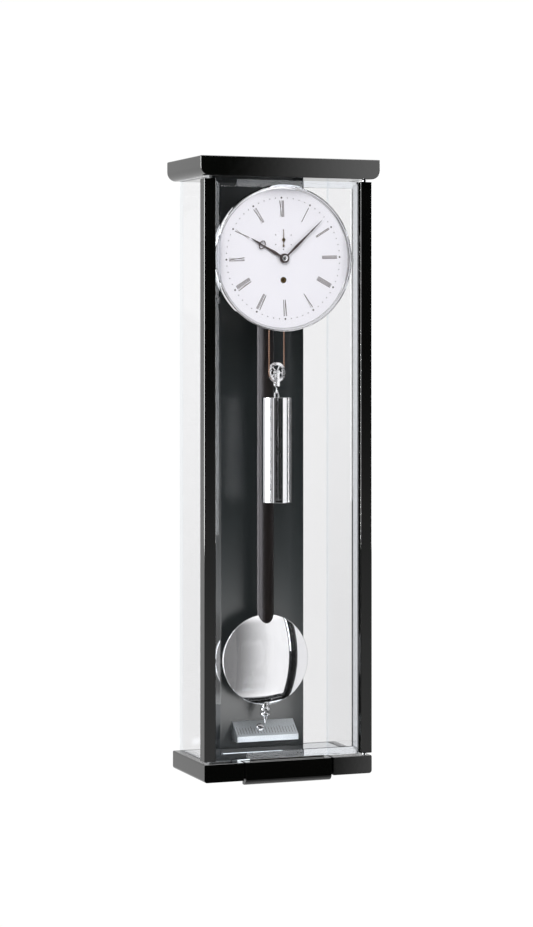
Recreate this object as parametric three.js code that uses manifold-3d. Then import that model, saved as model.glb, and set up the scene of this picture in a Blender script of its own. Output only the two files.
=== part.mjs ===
// A wall-hung regulator clock: a lacquered case with glass sides and a glazed front door,
// a weight-driven movement behind the dial, and a long pendulum in front of the back panel.
// Millimetres, +Z up, the front faces -Y, and the wall is the plane where the depth ends.
import * as THREE from "three";
import { mergeVertices } from "three/addons/utils/BufferGeometryUtils.js";
import Module from "manifold-3d";

const wasm = await Module();
wasm.setup();

// ---------- Driving dimensions ----------

const OVERALL_DEPTH = 140;
const FRONT = -OVERALL_DEPTH / 2;
const PULL_DROP = 6.5;
const OPEN_HEIGHT = 765;

const CORNICE = { width: 252, depth: 138, height: 26, lowerRadius: 12, edge: 1 };
const BASE = { width: 236, depth: 129, height: 24, lowerRadius: 4, edge: 1 };
const BASE_TOP = PULL_DROP + BASE.height;
const CORNICE_BOTTOM = BASE_TOP + OPEN_HEIGHT;
const BASE_FRONT_DEPTH = CORNICE.depth - BASE.depth;

const POST = { width: 16, depth: 17, gap: 3 };
const POST_LEFT_EDGE = BASE.width / 2;
const PANE = { setback: 5, thickness: 5, bevelWidth: 9, bevelDepth: 2 };
const HINGE_X = POST_LEFT_EDGE - POST.width / 2;
const HINGE_DEPTH = BASE_FRONT_DEPTH + POST.depth / 2;
const HINGE_PIN = { radius: 2.5, clearance: 0.3, inPost: 7, inCase: 8 };
const PULL = { width: 121, depth: 14, notchGap: 2.5, backGap: 3.5, lipRadius: 9, tongue: 104 };

const SIDE_GLASS = { inner: 104.5, thickness: 4, frontDepth: 30, backDepth: 137 };
const BACK_PANEL = { width: 133, frontDepth: 127, thickness: 10 };
const BACK_GLASS = { thickness: 4 };
const MIRROR = { thickness: 3, frontDepth: 28, play: 0.3 };

const DIAL_CENTRE = 690.3;
const SECONDS_HEIGHT = 24.5;
const WINDING_DROP = 28.7;
const PIVOT_HEIGHT = 48.7;
const PIVOT = DIAL_CENTRE + PIVOT_HEIGHT;

const DIAL = { radius: 92.2, frontDepth: 30, thickness: 2, windingHole: 4.2 };
const BEZEL = { radius: 96.6, sight: 91.6 };
const PLATE = { halfWidth: 42, below: 60, above: 62, thickness: 2.5, front: 40, back: 80 };
const PILLAR = { radius: 4, x: 36, low: -54, high: 56 };

const DRUM = { barrel: 10.6, flange: 13.8, front: 49.5, back: 62.5 };
const CABLE = { radius: 0.9, coil: 12.2, turn: THREE.MathUtils.degToRad(15), depth: 52.5 };
const CABLE_POST_HEIGHT = 636 + PULL_DROP;
const PULLEY = { z: 539.6, radius: 13.2, groove: 11, thickness: 5 };
const WEIGHT = { radius: 19.7, top: 506.2, length: 139.8 };
const YOKE_PIN_Z = 522.5;
const PULLEY_DEPTH = CABLE.depth + 2.5;
const PULLEY_Y = FRONT + PULLEY_DEPTH;
const WEIGHT_EYE = { half: 2.6, wire: 0.9, barZ: 513.6 };

const ROD = { width: 24, depth: 12, planeDepth: 98, top: PIVOT - 20 };
const BOB = { z: 153.3, radius: 61, halfThickness: 12.6, rimHalf: 2.5, boreDepth: 88 };

const SCALE = { left: -37.2, right: 50.5, foot: 41.5, lip: 48.8, top: 67, front: 105 };

// Tooth counts. The seconds arbor turns once a minute and the centre arbor once an hour.
const TRAIN = {
  centreWheel: 64,
  thirdPinion: 8,
  thirdWheel: 60,
  escapePinion: 8,
  intermediateWheel: 64,
  centrePinion: 16,
  greatWheel: 80,
  intermediatePinion: 16,
  cannon: 12,
  minuteWheel: 36,
  minutePinion: 10,
  hourWheel: 40,
  escapeWheel: 40,
};
const GOING_MODULE = 0.6;
const DRIVE_MODULE = 0.55;
const MOTION_MODULE = 0.5;

// The two depths between which each flat part of the movement lies, from the front backwards.
const LAYER = {
  minuteHand: [24.2, 25.1],
  hourHand: [26.6, 27.5],
  secondsHand: [28.6, 29.1],
  minutePinion: [34, 37.5],
  hourWheel: [34.4, 35.8],
  cannon: [36.8, 39.2],
  minuteWheel: [37.4, 38.8],
  thirdPinion: [44.5, 48],
  centreWheel: [45.5, 47],
  anchor: [55, 58.4],
  escapeWheel: [56, 57.4],
  ratchet: [62.5, 64.6],
  click: [63, 65.4],
  intermediatePinion: [65, 69.5],
  greatWheel: [66, 68],
  centrePinion: [70.5, 75],
  intermediateWheel: [72, 73.5],
  escapePinion: [75.5, 79],
  thirdWheel: [76.8, 78.2],
  crutch: [84.3, 86.3],
};

const HOUR_ANGLE = THREE.MathUtils.degToRad(299);
const MINUTE_ANGLE = THREE.MathUtils.degToRad(46);

// ---------- Materials ----------

const surface = (color, roughness, metalness) => () =>
  new THREE.MeshStandardMaterial({ color, roughness, metalness });
const blackLacquer = surface(0x060606, 0.06, 0);
const panelLacquer = surface(0x25292a, 0.08, 0);
const clearGlass = surface(0xdfe9ec, 0.02, 0);
const mirrorGlass = surface(0xd5d8dc, 0.02, 1);
const chrome = surface(0xe4e5e8, 0.05, 1);
const steel = surface(0xb4b6ba, 0.28, 1);
const brass = surface(0xc9a55a, 0.22, 1);
const dialWhite = surface(0xf5f4fa, 0.45, 0);
const handBrown = surface(0x3a302e, 0.3, 0.6);
const goldBrown = surface(0x8d7350, 0.3, 0.8);
const darkWood = surface(0x17110f, 0.22, 0);
const cableBrown = surface(0x9c7460, 0.4, 0.8);
const silvered = surface(0xd7dee2, 0.25, 1);

// ---------- Shape helpers ----------

const depthAt = (distance) => FRONT + distance;

// Points of an arc in the drawing plane, from one angle to another.
function arc(cx, cy, radius, from, to, steps) {
  const points = [];
  for (let i = 0; i <= steps; i += 1) {
    const angle = from + ((to - from) * i) / steps;
    points.push([cx + radius * Math.cos(angle), cy + radius * Math.sin(angle)]);
  }
  return points;
}

const circle = (cx, cy, radius, steps) =>
  arc(cx, cy, radius, 0, 2 * Math.PI, steps).slice(0, -1);

function shapeOf(outline, holes = []) {
  const toVectors = (points) => points.map(([x, y]) => new THREE.Vector2(x, y));
  const shape = new THREE.Shape(toVectors(outline));
  for (const hole of holes) shape.holes.push(new THREE.Path(toVectors(hole)));
  return shape;
}

const extrude = (outline, holes, depth) =>
  new THREE.ExtrudeGeometry(shapeOf(outline, holes), {
    depth,
    bevelEnabled: false,
    curveSegments: 1,
  });

// A plate drawn as seen from the front, in x and z, filling a range of depths.
function frontPlate(outline, holes, nearDepth, farDepth) {
  const geometry = extrude(outline, holes, farDepth - nearDepth);
  geometry.rotateX(Math.PI / 2);
  geometry.translate(0, depthAt(farDepth), 0);
  return geometry;
}

// A plate drawn as seen from above, in x and y.
function flatPlate(outline, holes, bottom, top) {
  const geometry = extrude(outline, holes, top - bottom);
  geometry.translate(0, 0, bottom);
  return geometry;
}

// A bar whose section is drawn in y and z, running from one x to another.
function sectionBar(outline, left, right) {
  const geometry = extrude(outline, [], right - left);
  const axes = new THREE.Matrix4().makeBasis(
    new THREE.Vector3(0, 1, 0),
    new THREE.Vector3(0, 0, 1),
    new THREE.Vector3(1, 0, 0),
  );
  geometry.applyMatrix4(axes);
  geometry.translate(left, 0, 0);
  return geometry;
}

// A box between two opposite corners, with its y given as depths behind the front.
function block([x0, near, z0], [x1, far, z1]) {
  const geometry = new THREE.BoxGeometry(x1 - x0, far - near, z1 - z0);
  geometry.translate((x0 + x1) / 2, depthAt((near + far) / 2), (z0 + z1) / 2);
  return geometry;
}

// A turned piece. The profile of [radius, height] points runs anticlockwise, and closes on the
// axis or on its first point.
function turned(profile, segments) {
  const onAxis = profile[0][0] === 0;
  const loop = onAxis ? profile : [...profile, profile[0]];
  return new THREE.LatheGeometry(
    loop.map(([r, h]) => new THREE.Vector2(r, h)),
    segments,
  );
}

// Turned about an axis that runs front to back. Profile heights are depths.
function turnedAlongDepth(profile, segments, x, z) {
  const geometry = turned(
    profile.map(([r, depth]) => [r, depthAt(depth)]),
    segments,
  );
  geometry.translate(x, 0, z);
  return geometry;
}

// Turned about an upright axis. Profile heights are z values.
function turnedUpright(profile, segments, x, y) {
  const geometry = turned(profile, segments);
  geometry.rotateX(Math.PI / 2);
  geometry.translate(x, y, 0);
  return geometry;
}

const disc = (radius, low, high) => [
  [0, low],
  [radius, low],
  [radius, high],
  [0, high],
];

const spindle = (radius, near, far, x, z, segments = 16) =>
  turnedAlongDepth(disc(radius, near, far), segments, x, z);

// ---------- Joining and cutting ----------

function solid(geometry) {
  const bare = geometry.index ? geometry.toNonIndexed() : geometry.clone();
  bare.deleteAttribute("normal");
  bare.deleteAttribute("uv");
  const merged = mergeVertices(bare, 1e-3);
  const mesh = new wasm.Mesh({
    numProp: 3,
    vertProperties: merged.attributes.position.array,
    triVerts: new Uint32Array(merged.index.array),
  });
  return new wasm.Manifold(mesh);
}

function geometryFrom(manifold) {
  const { vertProperties, triVerts } = manifold.getMesh();
  const geometry = new THREE.BufferGeometry();
  geometry.setAttribute("position", new THREE.BufferAttribute(vertProperties, 3));
  geometry.setIndex(new THREE.BufferAttribute(triVerts, 1));
  const faceted = geometry.toNonIndexed();
  faceted.computeVertexNormals();
  return faceted;
}

const join = (...geometries) =>
  geometryFrom(geometries.map(solid).reduce((whole, piece) => whole.add(piece)));

const cut = (geometry, ...cutters) =>
  geometryFrom(cutters.map(solid).reduce((whole, piece) => whole.subtract(piece), solid(geometry)));

const clock = new THREE.Group();
clock.name = "regulator_clock";

function add(name, geometry, material) {
  const mesh = new THREE.Mesh(geometry, material());
  mesh.name = name;
  clock.add(mesh);
}

// ---------- Case ----------

// A rectangle seen from the front with rounded lower corners and slightly eased upper ones.
function lacquerBlock({ width, height, lowerRadius, edge }, bottom) {
  const right = width / 2;
  const top = bottom + height;
  const corner = (side, from, to) =>
    arc(side * (right - lowerRadius), bottom + lowerRadius, lowerRadius, from, to, 6);
  return [
    ...corner(-1, Math.PI, 1.5 * Math.PI),
    ...corner(1, 1.5 * Math.PI, 2 * Math.PI),
    [right, top - edge],
    [right - edge, top],
    [edge - right, top],
    [-right, top - edge],
  ];
}

const hingeSocket = (bottom, top) =>
  turnedUpright(
    disc(HINGE_PIN.radius + HINGE_PIN.clearance, bottom, top),
    16,
    HINGE_X,
    depthAt(HINGE_DEPTH),
  );

function mirrorOutline(play) {
  const side = SIDE_GLASS.inner - 0.5 + play;
  const near = depthAt(MIRROR.frontDepth - play);
  const far = depthAt(BACK_PANEL.frontDepth + 5.5 + play);
  const panelSide = BACK_PANEL.width / 2 + MIRROR.play - play;
  const panelFront = depthAt(BACK_PANEL.frontDepth - MIRROR.play + play);
  return [
    [-side, near],
    [side, near],
    [side, far],
    [panelSide, far],
    [panelSide, panelFront],
    [-panelSide, panelFront],
    [-panelSide, far],
    [-side, far],
  ];
}

function buildCase() {
  const cornice = frontPlate(lacquerBlock(CORNICE, CORNICE_BOTTOM), [], 0, CORNICE.depth);
  const topSocket = hingeSocket(CORNICE_BOTTOM - 1, CORNICE_BOTTOM + HINGE_PIN.inCase + 0.3);
  add("cornice", cut(cornice, topSocket), blackLacquer);

  const base = frontPlate(lacquerBlock(BASE, PULL_DROP), [], BASE_FRONT_DEPTH, CORNICE.depth);
  const notchSide = PULL.width / 2 + PULL.notchGap;
  const notch = block(
    [-notchSide, 0, -1],
    [notchSide, BASE_FRONT_DEPTH + PULL.depth + PULL.backGap, BASE_TOP + 1],
  );
  const bed = flatPlate(mirrorOutline(MIRROR.play), [], BASE_TOP - MIRROR.thickness, BASE_TOP + 1);
  const bottomSocket = hingeSocket(BASE_TOP - HINGE_PIN.inCase - 0.3, BASE_TOP + 1);
  add("base", cut(base, notch, bed, bottomSocket), blackLacquer);
  const floor = flatPlate(mirrorOutline(0), [], BASE_TOP - MIRROR.thickness, BASE_TOP);
  add("mirror_floor", floor, mirrorGlass);

  const panelSide = BACK_PANEL.width / 2;
  const panelBack = BACK_PANEL.frontDepth + BACK_PANEL.thickness;
  const panel = block(
    [-panelSide, BACK_PANEL.frontDepth, BASE_TOP],
    [panelSide, panelBack, CORNICE_BOTTOM],
  );
  add("back_panel", panel, panelLacquer);

  for (const [side, label] of [
    [-1, "left"],
    [1, "right"],
  ]) {
    const span = (a, b) => (side < 0 ? [-b, -a] : [a, b]);
    const [backLow, backHigh] = span(panelSide, SIDE_GLASS.inner);
    const backPane = block(
      [backLow, panelBack - BACK_GLASS.thickness, BASE_TOP],
      [backHigh, panelBack, CORNICE_BOTTOM],
    );
    add(`back_glass_${label}`, backPane, clearGlass);
    const [low, high] = span(SIDE_GLASS.inner, SIDE_GLASS.inner + SIDE_GLASS.thickness);
    const sidePane = block(
      [low, SIDE_GLASS.frontDepth, BASE_TOP],
      [high, SIDE_GLASS.backDepth, CORNICE_BOTTOM],
    );
    add(`side_glass_${label}`, sidePane, clearGlass);
    const spacer = spindle(7, CORNICE.depth, OVERALL_DEPTH, side * 92, PULL_DROP + 13, 20);
    add(`wall_spacer_${label}`, spacer, steel);
  }
}

// A steel plate on the back of the panel, with a keyhole that drops over a wall screw.
function buildWallHanger() {
  const z = 770;
  const outline = [
    [-32, z - 24],
    [32, z - 24],
    [32, z + 20],
    [-32, z + 20],
  ];
  const slotHalf = 3;
  const headRadius = 6.5;
  const shoulder = Math.acos(slotHalf / headRadius);
  const keyhole = [
    ...arc(0, z - 9, headRadius, Math.PI - shoulder, 2 * Math.PI + shoulder, 14),
    ...arc(0, z + 8, slotHalf, 0, Math.PI, 6),
  ];
  const panelBack = BACK_PANEL.frontDepth + BACK_PANEL.thickness;
  add("wall_hanger", frontPlate(outline, [keyhole], panelBack, OVERALL_DEPTH), steel);
}

// ---------- Front door ----------

function buildDoor() {
  const bottom = BASE_TOP + POST.gap;
  const top = CORNICE_BOTTOM - POST.gap;
  const near = BASE_FRONT_DEPTH;
  const far = near + POST.depth;
  const outer = POST_LEFT_EDGE;
  const inner = outer - POST.width;

  const leftPost = block([-outer, near, bottom], [-inner, far, top]);
  add("door_post_left", leftPost, blackLacquer);
  const rightPost = cut(
    block([inner, near, bottom], [outer, far, top]),
    hingeSocket(bottom - 1, bottom + HINGE_PIN.inPost + 0.3),
    hingeSocket(top - HINGE_PIN.inPost - 0.3, top + 1),
  );
  add("door_post_right", rightPost, blackLacquer);

  add("door_glass", bevelledPane(inner, bottom, top, near + PANE.setback), clearGlass);

  for (const [label, low, high] of [
    ["bottom", BASE_TOP - HINGE_PIN.inCase, bottom + HINGE_PIN.inPost],
    ["top", top - HINGE_PIN.inPost, CORNICE_BOTTOM + HINGE_PIN.inCase],
  ]) {
    const profile = disc(HINGE_PIN.radius, low, high);
    const pin = turnedUpright(profile, 16, HINGE_X, depthAt(HINGE_DEPTH));
    add(`hinge_pin_${label}`, pin, steel);
  }
  add("door_pull", doorPull(), blackLacquer);
}

// A flat pane whose front edges slope back all round.
function bevelledPane(halfWidth, bottom, top, near) {
  const { thickness, bevelWidth, bevelDepth } = PANE;
  const ring = (inset, depth) => [
    [-halfWidth + inset, depthAt(depth), bottom + inset],
    [halfWidth - inset, depthAt(depth), bottom + inset],
    [halfWidth - inset, depthAt(depth), top - inset],
    [-halfWidth + inset, depthAt(depth), top - inset],
  ];
  const rings = [
    ring(bevelWidth, near),
    ring(0, near + bevelDepth),
    ring(0, near + thickness),
  ];
  const corners = rings.flat();
  const faces = [
    [0, 1, 2],
    [0, 2, 3],
    [8, 10, 9],
    [8, 11, 10],
  ];
  for (let level = 0; level < 2; level += 1) {
    for (let side = 0; side < 4; side += 1) {
      const a = level * 4 + side;
      const b = level * 4 + ((side + 1) % 4);
      faces.push([a, a + 4, b]);
      faces.push([b, a + 4, b + 4]);
    }
  }
  const geometry = new THREE.BufferGeometry();
  geometry.setAttribute("position", new THREE.Float32BufferAttribute(corners.flat(), 3));
  geometry.setIndex(faces.flat());
  const faceted = geometry.toNonIndexed();
  faceted.computeVertexNormals();
  return faceted;
}

// The finger pull sits in the notch of the base, hangs below it, and carries the pane's lower edge.
function doorPull() {
  const near = depthAt(BASE_FRONT_DEPTH);
  const far = near + PULL.depth;
  const section = [
    [far - 1, 0],
    [far, 1],
    [far, BASE_TOP],
    [near, BASE_TOP],
    ...arc(near + PULL.lipRadius, PULL.lipRadius, PULL.lipRadius, Math.PI, 1.5 * Math.PI, 7),
  ];
  const bar = sectionBar(section, -PULL.width / 2, PULL.width / 2);
  const paneNear = BASE_FRONT_DEPTH + PANE.setback;
  const half = PULL.tongue / 2;
  const tongue = block(
    [-half, paneNear + 0.5, BASE_TOP - 2],
    [half, paneNear + PANE.thickness - 0.5, BASE_TOP + POST.gap],
  );
  return join(bar, tongue);
}

// ---------- Gears ----------

// A toothed outline about an arbor, with one tooth centred on the given phase angle. A tooth is a
// list of [height above the pitch circle in modules, offset from its centre in pitches].
function gearOutline(teeth, module, phase, at, tooth) {
  const pitch = (2 * Math.PI) / teeth;
  const points = [];
  for (let i = 0; i < teeth; i += 1) {
    for (const [height, offset] of tooth) {
      const radius = (teeth / 2 + height) * module;
      const angle = phase + (i + offset) * pitch;
      points.push([at.x + radius * Math.cos(angle), at.z + radius * Math.sin(angle)]);
    }
  }
  return points;
}

// Wheels have fine pointed teeth and pinions have a few slim leaves.
const WHEEL_TOOTH = [
  [0.75, 0],
  [-1.2, 0.5],
];
const PINION_LEAF = [
  [-1.1, -0.16],
  [0.6, -0.07],
  [0.6, 0.07],
  [-1.1, 0.16],
];

// The phase that puts a gap of the second gear over a tooth of the first, along the line of centres.
function meshedPhase(firstPhase, firstTeeth, teeth, direction) {
  const fromTooth = ((direction - firstPhase) * firstTeeth) / (2 * Math.PI);
  return direction + Math.PI - ((0.5 - fromTooth) * 2 * Math.PI) / teeth;
}

// Openings between the spokes of a wheel.
function crossings(at, hub, rim, spokes, spokeHalf) {
  const holes = [];
  const step = (2 * Math.PI) / spokes;
  for (let i = 0; i < spokes; i += 1) {
    const from = i * step;
    const outer = Math.asin(spokeHalf / rim);
    const inner = Math.asin(spokeHalf / hub);
    holes.push([
      ...arc(at.x, at.z, rim, from + outer, from + step - outer, 4),
      ...arc(at.x, at.z, hub, from + step - inner, from + inner, 1),
    ]);
  }
  return holes;
}

function wheelPlate(teeth, module, phase, at, layer, { hub = 3.6, spokes = 5 } = {}) {
  const outline = gearOutline(teeth, module, phase, at, WHEEL_TOOTH);
  const rim = (teeth * module) / 2 - 3 * module - 0.6;
  return frontPlate(outline, crossings(at, hub, rim, spokes, 0.9), ...layer);
}

const pinion = (teeth, module, phase, at, layer) =>
  frontPlate(gearOutline(teeth, module, phase, at, PINION_LEAF), [], ...layer);

const centreDistance = (a, b, module) => ((a + b) * module) / 2;

// Where a third arbor stands, given its distances from two arbors on the centre line.
function sideArbor(lowZ, highZ, fromLow, fromHigh, side) {
  const apart = highZ - lowZ;
  const up = (fromLow ** 2 - fromHigh ** 2 + apart ** 2) / (2 * apart);
  return { x: side * Math.sqrt(fromLow ** 2 - up ** 2), z: lowZ + up };
}

const directionTo = (from, to) => Math.atan2(to.z - from.z, to.x - from.x);

const centre = { x: 0, z: DIAL_CENTRE };
const escape = { x: 0, z: DIAL_CENTRE + SECONDS_HEIGHT };
const winding = { x: 0, z: DIAL_CENTRE - WINDING_DROP };
const third = sideArbor(
  centre.z,
  escape.z,
  centreDistance(TRAIN.centreWheel, TRAIN.thirdPinion, GOING_MODULE),
  centreDistance(TRAIN.thirdWheel, TRAIN.escapePinion, GOING_MODULE),
  -1,
);
const intermediate = sideArbor(
  winding.z,
  centre.z,
  centreDistance(TRAIN.greatWheel, TRAIN.intermediatePinion, GOING_MODULE),
  centreDistance(TRAIN.intermediateWheel, TRAIN.centrePinion, DRIVE_MODULE),
  1,
);
const minuteArbor = {
  x: centreDistance(TRAIN.cannon, TRAIN.minuteWheel, MOTION_MODULE),
  z: DIAL_CENTRE,
};

// Depths of the plates' bearing faces, and the clearance each shoulder keeps from them.
const INSIDE = { near: PLATE.front + PLATE.thickness, far: PLATE.back };
const SHAKE = 0.4;
const PIVOT_RADIUS = 1;

// An arbor between the plates, with a thinner pivot running into each of them.
function arborBetween(point, radius = 1.6) {
  const reach = PLATE.thickness - 0.3;
  return turnedAlongDepth(
    [
      [0, INSIDE.near - reach],
      [PIVOT_RADIUS, INSIDE.near - reach],
      [PIVOT_RADIUS, INSIDE.near + SHAKE],
      [radius, INSIDE.near + SHAKE],
      [radius, INSIDE.far - SHAKE],
      [PIVOT_RADIUS, INSIDE.far - SHAKE],
      [PIVOT_RADIUS, INSIDE.far + reach],
      [0, INSIDE.far + reach],
    ],
    8,
    point.x,
    point.z,
  );
}

// The phase of a pinion driven by a wheel whose first tooth stands at angle 0.
const drivenPhase = (wheelTeeth, leaves, wheelAt, pinionAt) =>
  meshedPhase(0, wheelTeeth, leaves, directionTo(wheelAt, pinionAt));

function buildGoingTrain() {
  const { centreWheel, thirdPinion, thirdWheel, escapePinion } = TRAIN;
  const { intermediateWheel, centrePinion, greatWheel, intermediatePinion } = TRAIN;

  const centrePhase = drivenPhase(intermediateWheel, centrePinion, intermediate, centre);
  const centrePlate = wheelPlate(centreWheel, GOING_MODULE, 0, centre, LAYER.centreWheel);
  const centreLeaves = pinion(centrePinion, DRIVE_MODULE, centrePhase, centre, LAYER.centrePinion);
  add("centre_wheel", join(centrePlate, centreLeaves, centreArbor()), brass);

  const thirdPhase = drivenPhase(centreWheel, thirdPinion, centre, third);
  const thirdPlate = wheelPlate(thirdWheel, GOING_MODULE, 0, third, LAYER.thirdWheel);
  const thirdLeaves = pinion(thirdPinion, GOING_MODULE, thirdPhase, third, LAYER.thirdPinion);
  add("third_wheel", join(thirdPlate, thirdLeaves, arborBetween(third)), brass);

  const lowPhase = drivenPhase(greatWheel, intermediatePinion, winding, intermediate);
  const lowPlate = wheelPlate(
    intermediateWheel,
    DRIVE_MODULE,
    0,
    intermediate,
    LAYER.intermediateWheel,
  );
  const lowLeaves = pinion(
    intermediatePinion,
    GOING_MODULE,
    lowPhase,
    intermediate,
    LAYER.intermediatePinion,
  );
  add("intermediate_wheel", join(lowPlate, lowLeaves, arborBetween(intermediate)), brass);

  const escapePhase = drivenPhase(thirdWheel, escapePinion, third, escape);
  const escapeLeaves = pinion(escapePinion, GOING_MODULE, escapePhase, escape, LAYER.escapePinion);
  add("escape_wheel", join(escapePlate(), escapeLeaves, secondsArbor()), brass);
}

// The centre arbor runs forward through the front plate to carry the cannon pinion.
function centreArbor() {
  return turnedAlongDepth(
    [
      [0, 24.2],
      [1.2, 24.2],
      [1.2, INSIDE.near + SHAKE],
      [1.8, INSIDE.near + SHAKE],
      [1.8, INSIDE.far - SHAKE],
      [PIVOT_RADIUS, INSIDE.far - SHAKE],
      [PIVOT_RADIUS, INSIDE.far + 2.2],
      [0, INSIDE.far + 2.2],
    ],
    12,
    centre.x,
    centre.z,
  );
}

// The escape arbor runs forward to the seconds dial.
function secondsArbor() {
  return turnedAlongDepth(
    [
      [0, 29.4],
      [0.8, 29.4],
      [0.8, INSIDE.near + SHAKE],
      [1.5, INSIDE.near + SHAKE],
      [1.5, INSIDE.far - SHAKE],
      [PIVOT_RADIUS, INSIDE.far - SHAKE],
      [PIVOT_RADIUS, INSIDE.far + 2.2],
      [0, INSIDE.far + 2.2],
    ],
    12,
    escape.x,
    escape.z,
  );
}

const ESCAPE = { radius: 16, root: 13.2 };

// Each tooth has a steep face ahead and a long sloping back.
function escapePlate() {
  const points = [];
  const pitch = (2 * Math.PI) / TRAIN.escapeWheel;
  for (let i = 0; i < TRAIN.escapeWheel; i += 1) {
    for (const [radius, offset] of [
      [ESCAPE.root, 0],
      [ESCAPE.radius, 0.5],
      [ESCAPE.radius, 0.62],
      [ESCAPE.root, 0.6],
    ]) {
      const angle = Math.PI / 2 - (i + offset) * pitch;
      points.push([escape.x + radius * Math.cos(angle), escape.z + radius * Math.sin(angle)]);
    }
  }
  return frontPlate(points, crossings(escape, 3.6, 11.4, 5, 0.8), ...LAYER.escapeWheel);
}

// ---------- Winding drum and its great wheel ----------

function buildDrum() {
  const outline = gearOutline(TRAIN.greatWheel, GOING_MODULE, 0, winding, WHEEL_TOOTH);
  const [wheelNear, wheelFar] = LAYER.greatWheel;
  const arborBore = circle(winding.x, winding.z, 3.3, 16);
  const clickBore = circle(clickPivot.x, clickPivot.z, 1.3, 12);
  add("great_wheel", frontPlate(outline, [arborBore, clickBore], wheelNear, wheelFar), brass);
  add("click", clickPiece(clickPivot), steel);

  const barrel = turnedAlongDepth(
    [
      [0, 31.6],
      [2.2, 31.6],
      [2.2, 36.5],
      [3, 36.5],
      [3, DRUM.front - 1.5],
      [DRUM.flange, DRUM.front - 1.5],
      [DRUM.flange, DRUM.front],
      [DRUM.barrel, DRUM.front],
      [DRUM.barrel, DRUM.back],
      [5, DRUM.back],
      [5, 65.4],
      [3, 65.4],
      [3, INSIDE.far - SHAKE],
      [2, INSIDE.far - SHAKE],
      [2, INSIDE.far + 2.2],
      [0, INSIDE.far + 2.2],
    ],
    24,
    winding.x,
    winding.z,
  );
  add("winding_drum", join(barrel, ratchetPlate()), brass);
}

const RATCHET = { teeth: 24, radius: 14.4, root: 13 };

// Saw-shaped teeth on the drum's rear flange.
function ratchetPlate() {
  const points = [];
  const pitch = (2 * Math.PI) / RATCHET.teeth;
  for (let i = 0; i < RATCHET.teeth; i += 1) {
    for (const [radius, offset] of [
      [RATCHET.radius, 0],
      [RATCHET.root, 0.08],
    ]) {
      const angle = (i + offset) * pitch;
      points.push([winding.x + radius * Math.cos(angle), winding.z + radius * Math.sin(angle)]);
    }
  }
  return frontPlate(points, [], ...LAYER.ratchet);
}

const clickPivot = { x: winding.x - 15.5, z: winding.z + 11.5 };

// The click turns on the great wheel and rides just off the ratchet teeth.
function clickPiece(at) {
  const towards = directionTo(at, winding) - 0.9;
  const along = (length, side) => [
    at.x + length * Math.cos(towards) - side * Math.sin(towards),
    at.z + length * Math.sin(towards) + side * Math.cos(towards),
  ];
  const outline = [along(-2.4, -1), along(0, -2.4), along(8.5, -0.6), along(8.5, 0.5)];
  outline.push(along(1, 2.2), along(-2, 1.6));
  const [armNear, armFar] = LAYER.click;
  const studEnd = LAYER.greatWheel[1] + 0.8;
  return join(frontPlate(outline, [], armNear, armFar), spindle(1.1, armNear, studEnd, at.x, at.z, 12));
}

// ---------- Motion work and hands ----------

function buildMotionWork() {
  const pipe = (outer, inner, near, far) =>
    turnedAlongDepth(
      [
        [inner, near],
        [outer, near],
        [outer, far],
        [inner, far],
      ],
      16,
      centre.x,
      centre.z,
    );
  const bore = 1.45;
  const leaves = gearOutline(TRAIN.cannon, MOTION_MODULE, 0, centre, PINION_LEAF);
  const cannon = frontPlate(leaves, [circle(centre.x, centre.z, bore, 16)], ...LAYER.cannon);
  add("cannon_pinion", join(cannon, pipe(2.2, bore, 25.6, LAYER.cannon[0] + 0.2)), steel);

  const minutePhase = meshedPhase(0, TRAIN.cannon, TRAIN.minuteWheel, 0);
  const crossing = { hub: 3.2, spokes: 4 };
  const { x, z } = minuteArbor;
  const hourModule = (2 * x) / (TRAIN.minutePinion + TRAIN.hourWheel);
  add(
    "minute_wheel",
    join(
      wheelPlate(
        TRAIN.minuteWheel,
        MOTION_MODULE,
        minutePhase,
        minuteArbor,
        LAYER.minuteWheel,
        crossing,
      ),
      pinion(TRAIN.minutePinion, hourModule, 0, minuteArbor, LAYER.minutePinion),
      spindle(PIVOT_RADIUS, LAYER.minutePinion[0] - 0.6, INSIDE.near - 0.3, x, z, 12),
    ),
    brass,
  );

  const pipeBore = 2.6;
  const hourPhase = meshedPhase(0, TRAIN.minutePinion, TRAIN.hourWheel, Math.PI);
  const hourTeeth = gearOutline(TRAIN.hourWheel, hourModule, hourPhase, centre, WHEEL_TOOTH);
  const hourBore = circle(centre.x, centre.z, pipeBore, 16);
  const hourPlate = frontPlate(hourTeeth, [hourBore], ...LAYER.hourWheel);
  const hourPipe = pipe(3.3, pipeBore, LAYER.hourHand[1] + 0.1, LAYER.hourWheel[0] + 0.1);
  add("hour_wheel", join(hourPlate, hourPipe), brass);
}

// A blade drawn pointing up from a centre: pairs of [distance, half width].
function blade(at, stations) {
  const right = stations.map(([reach, half]) => [at.x + half, at.z + reach]);
  const left = [...stations].reverse().map(([reach, half]) => [at.x - half, at.z + reach]);
  return [...right, ...left];
}

function pointAt(geometry, at, angle) {
  geometry.translate(-at.x, 0, -at.z);
  geometry.rotateY(angle);
  geometry.translate(at.x, 0, at.z);
  return geometry;
}

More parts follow.
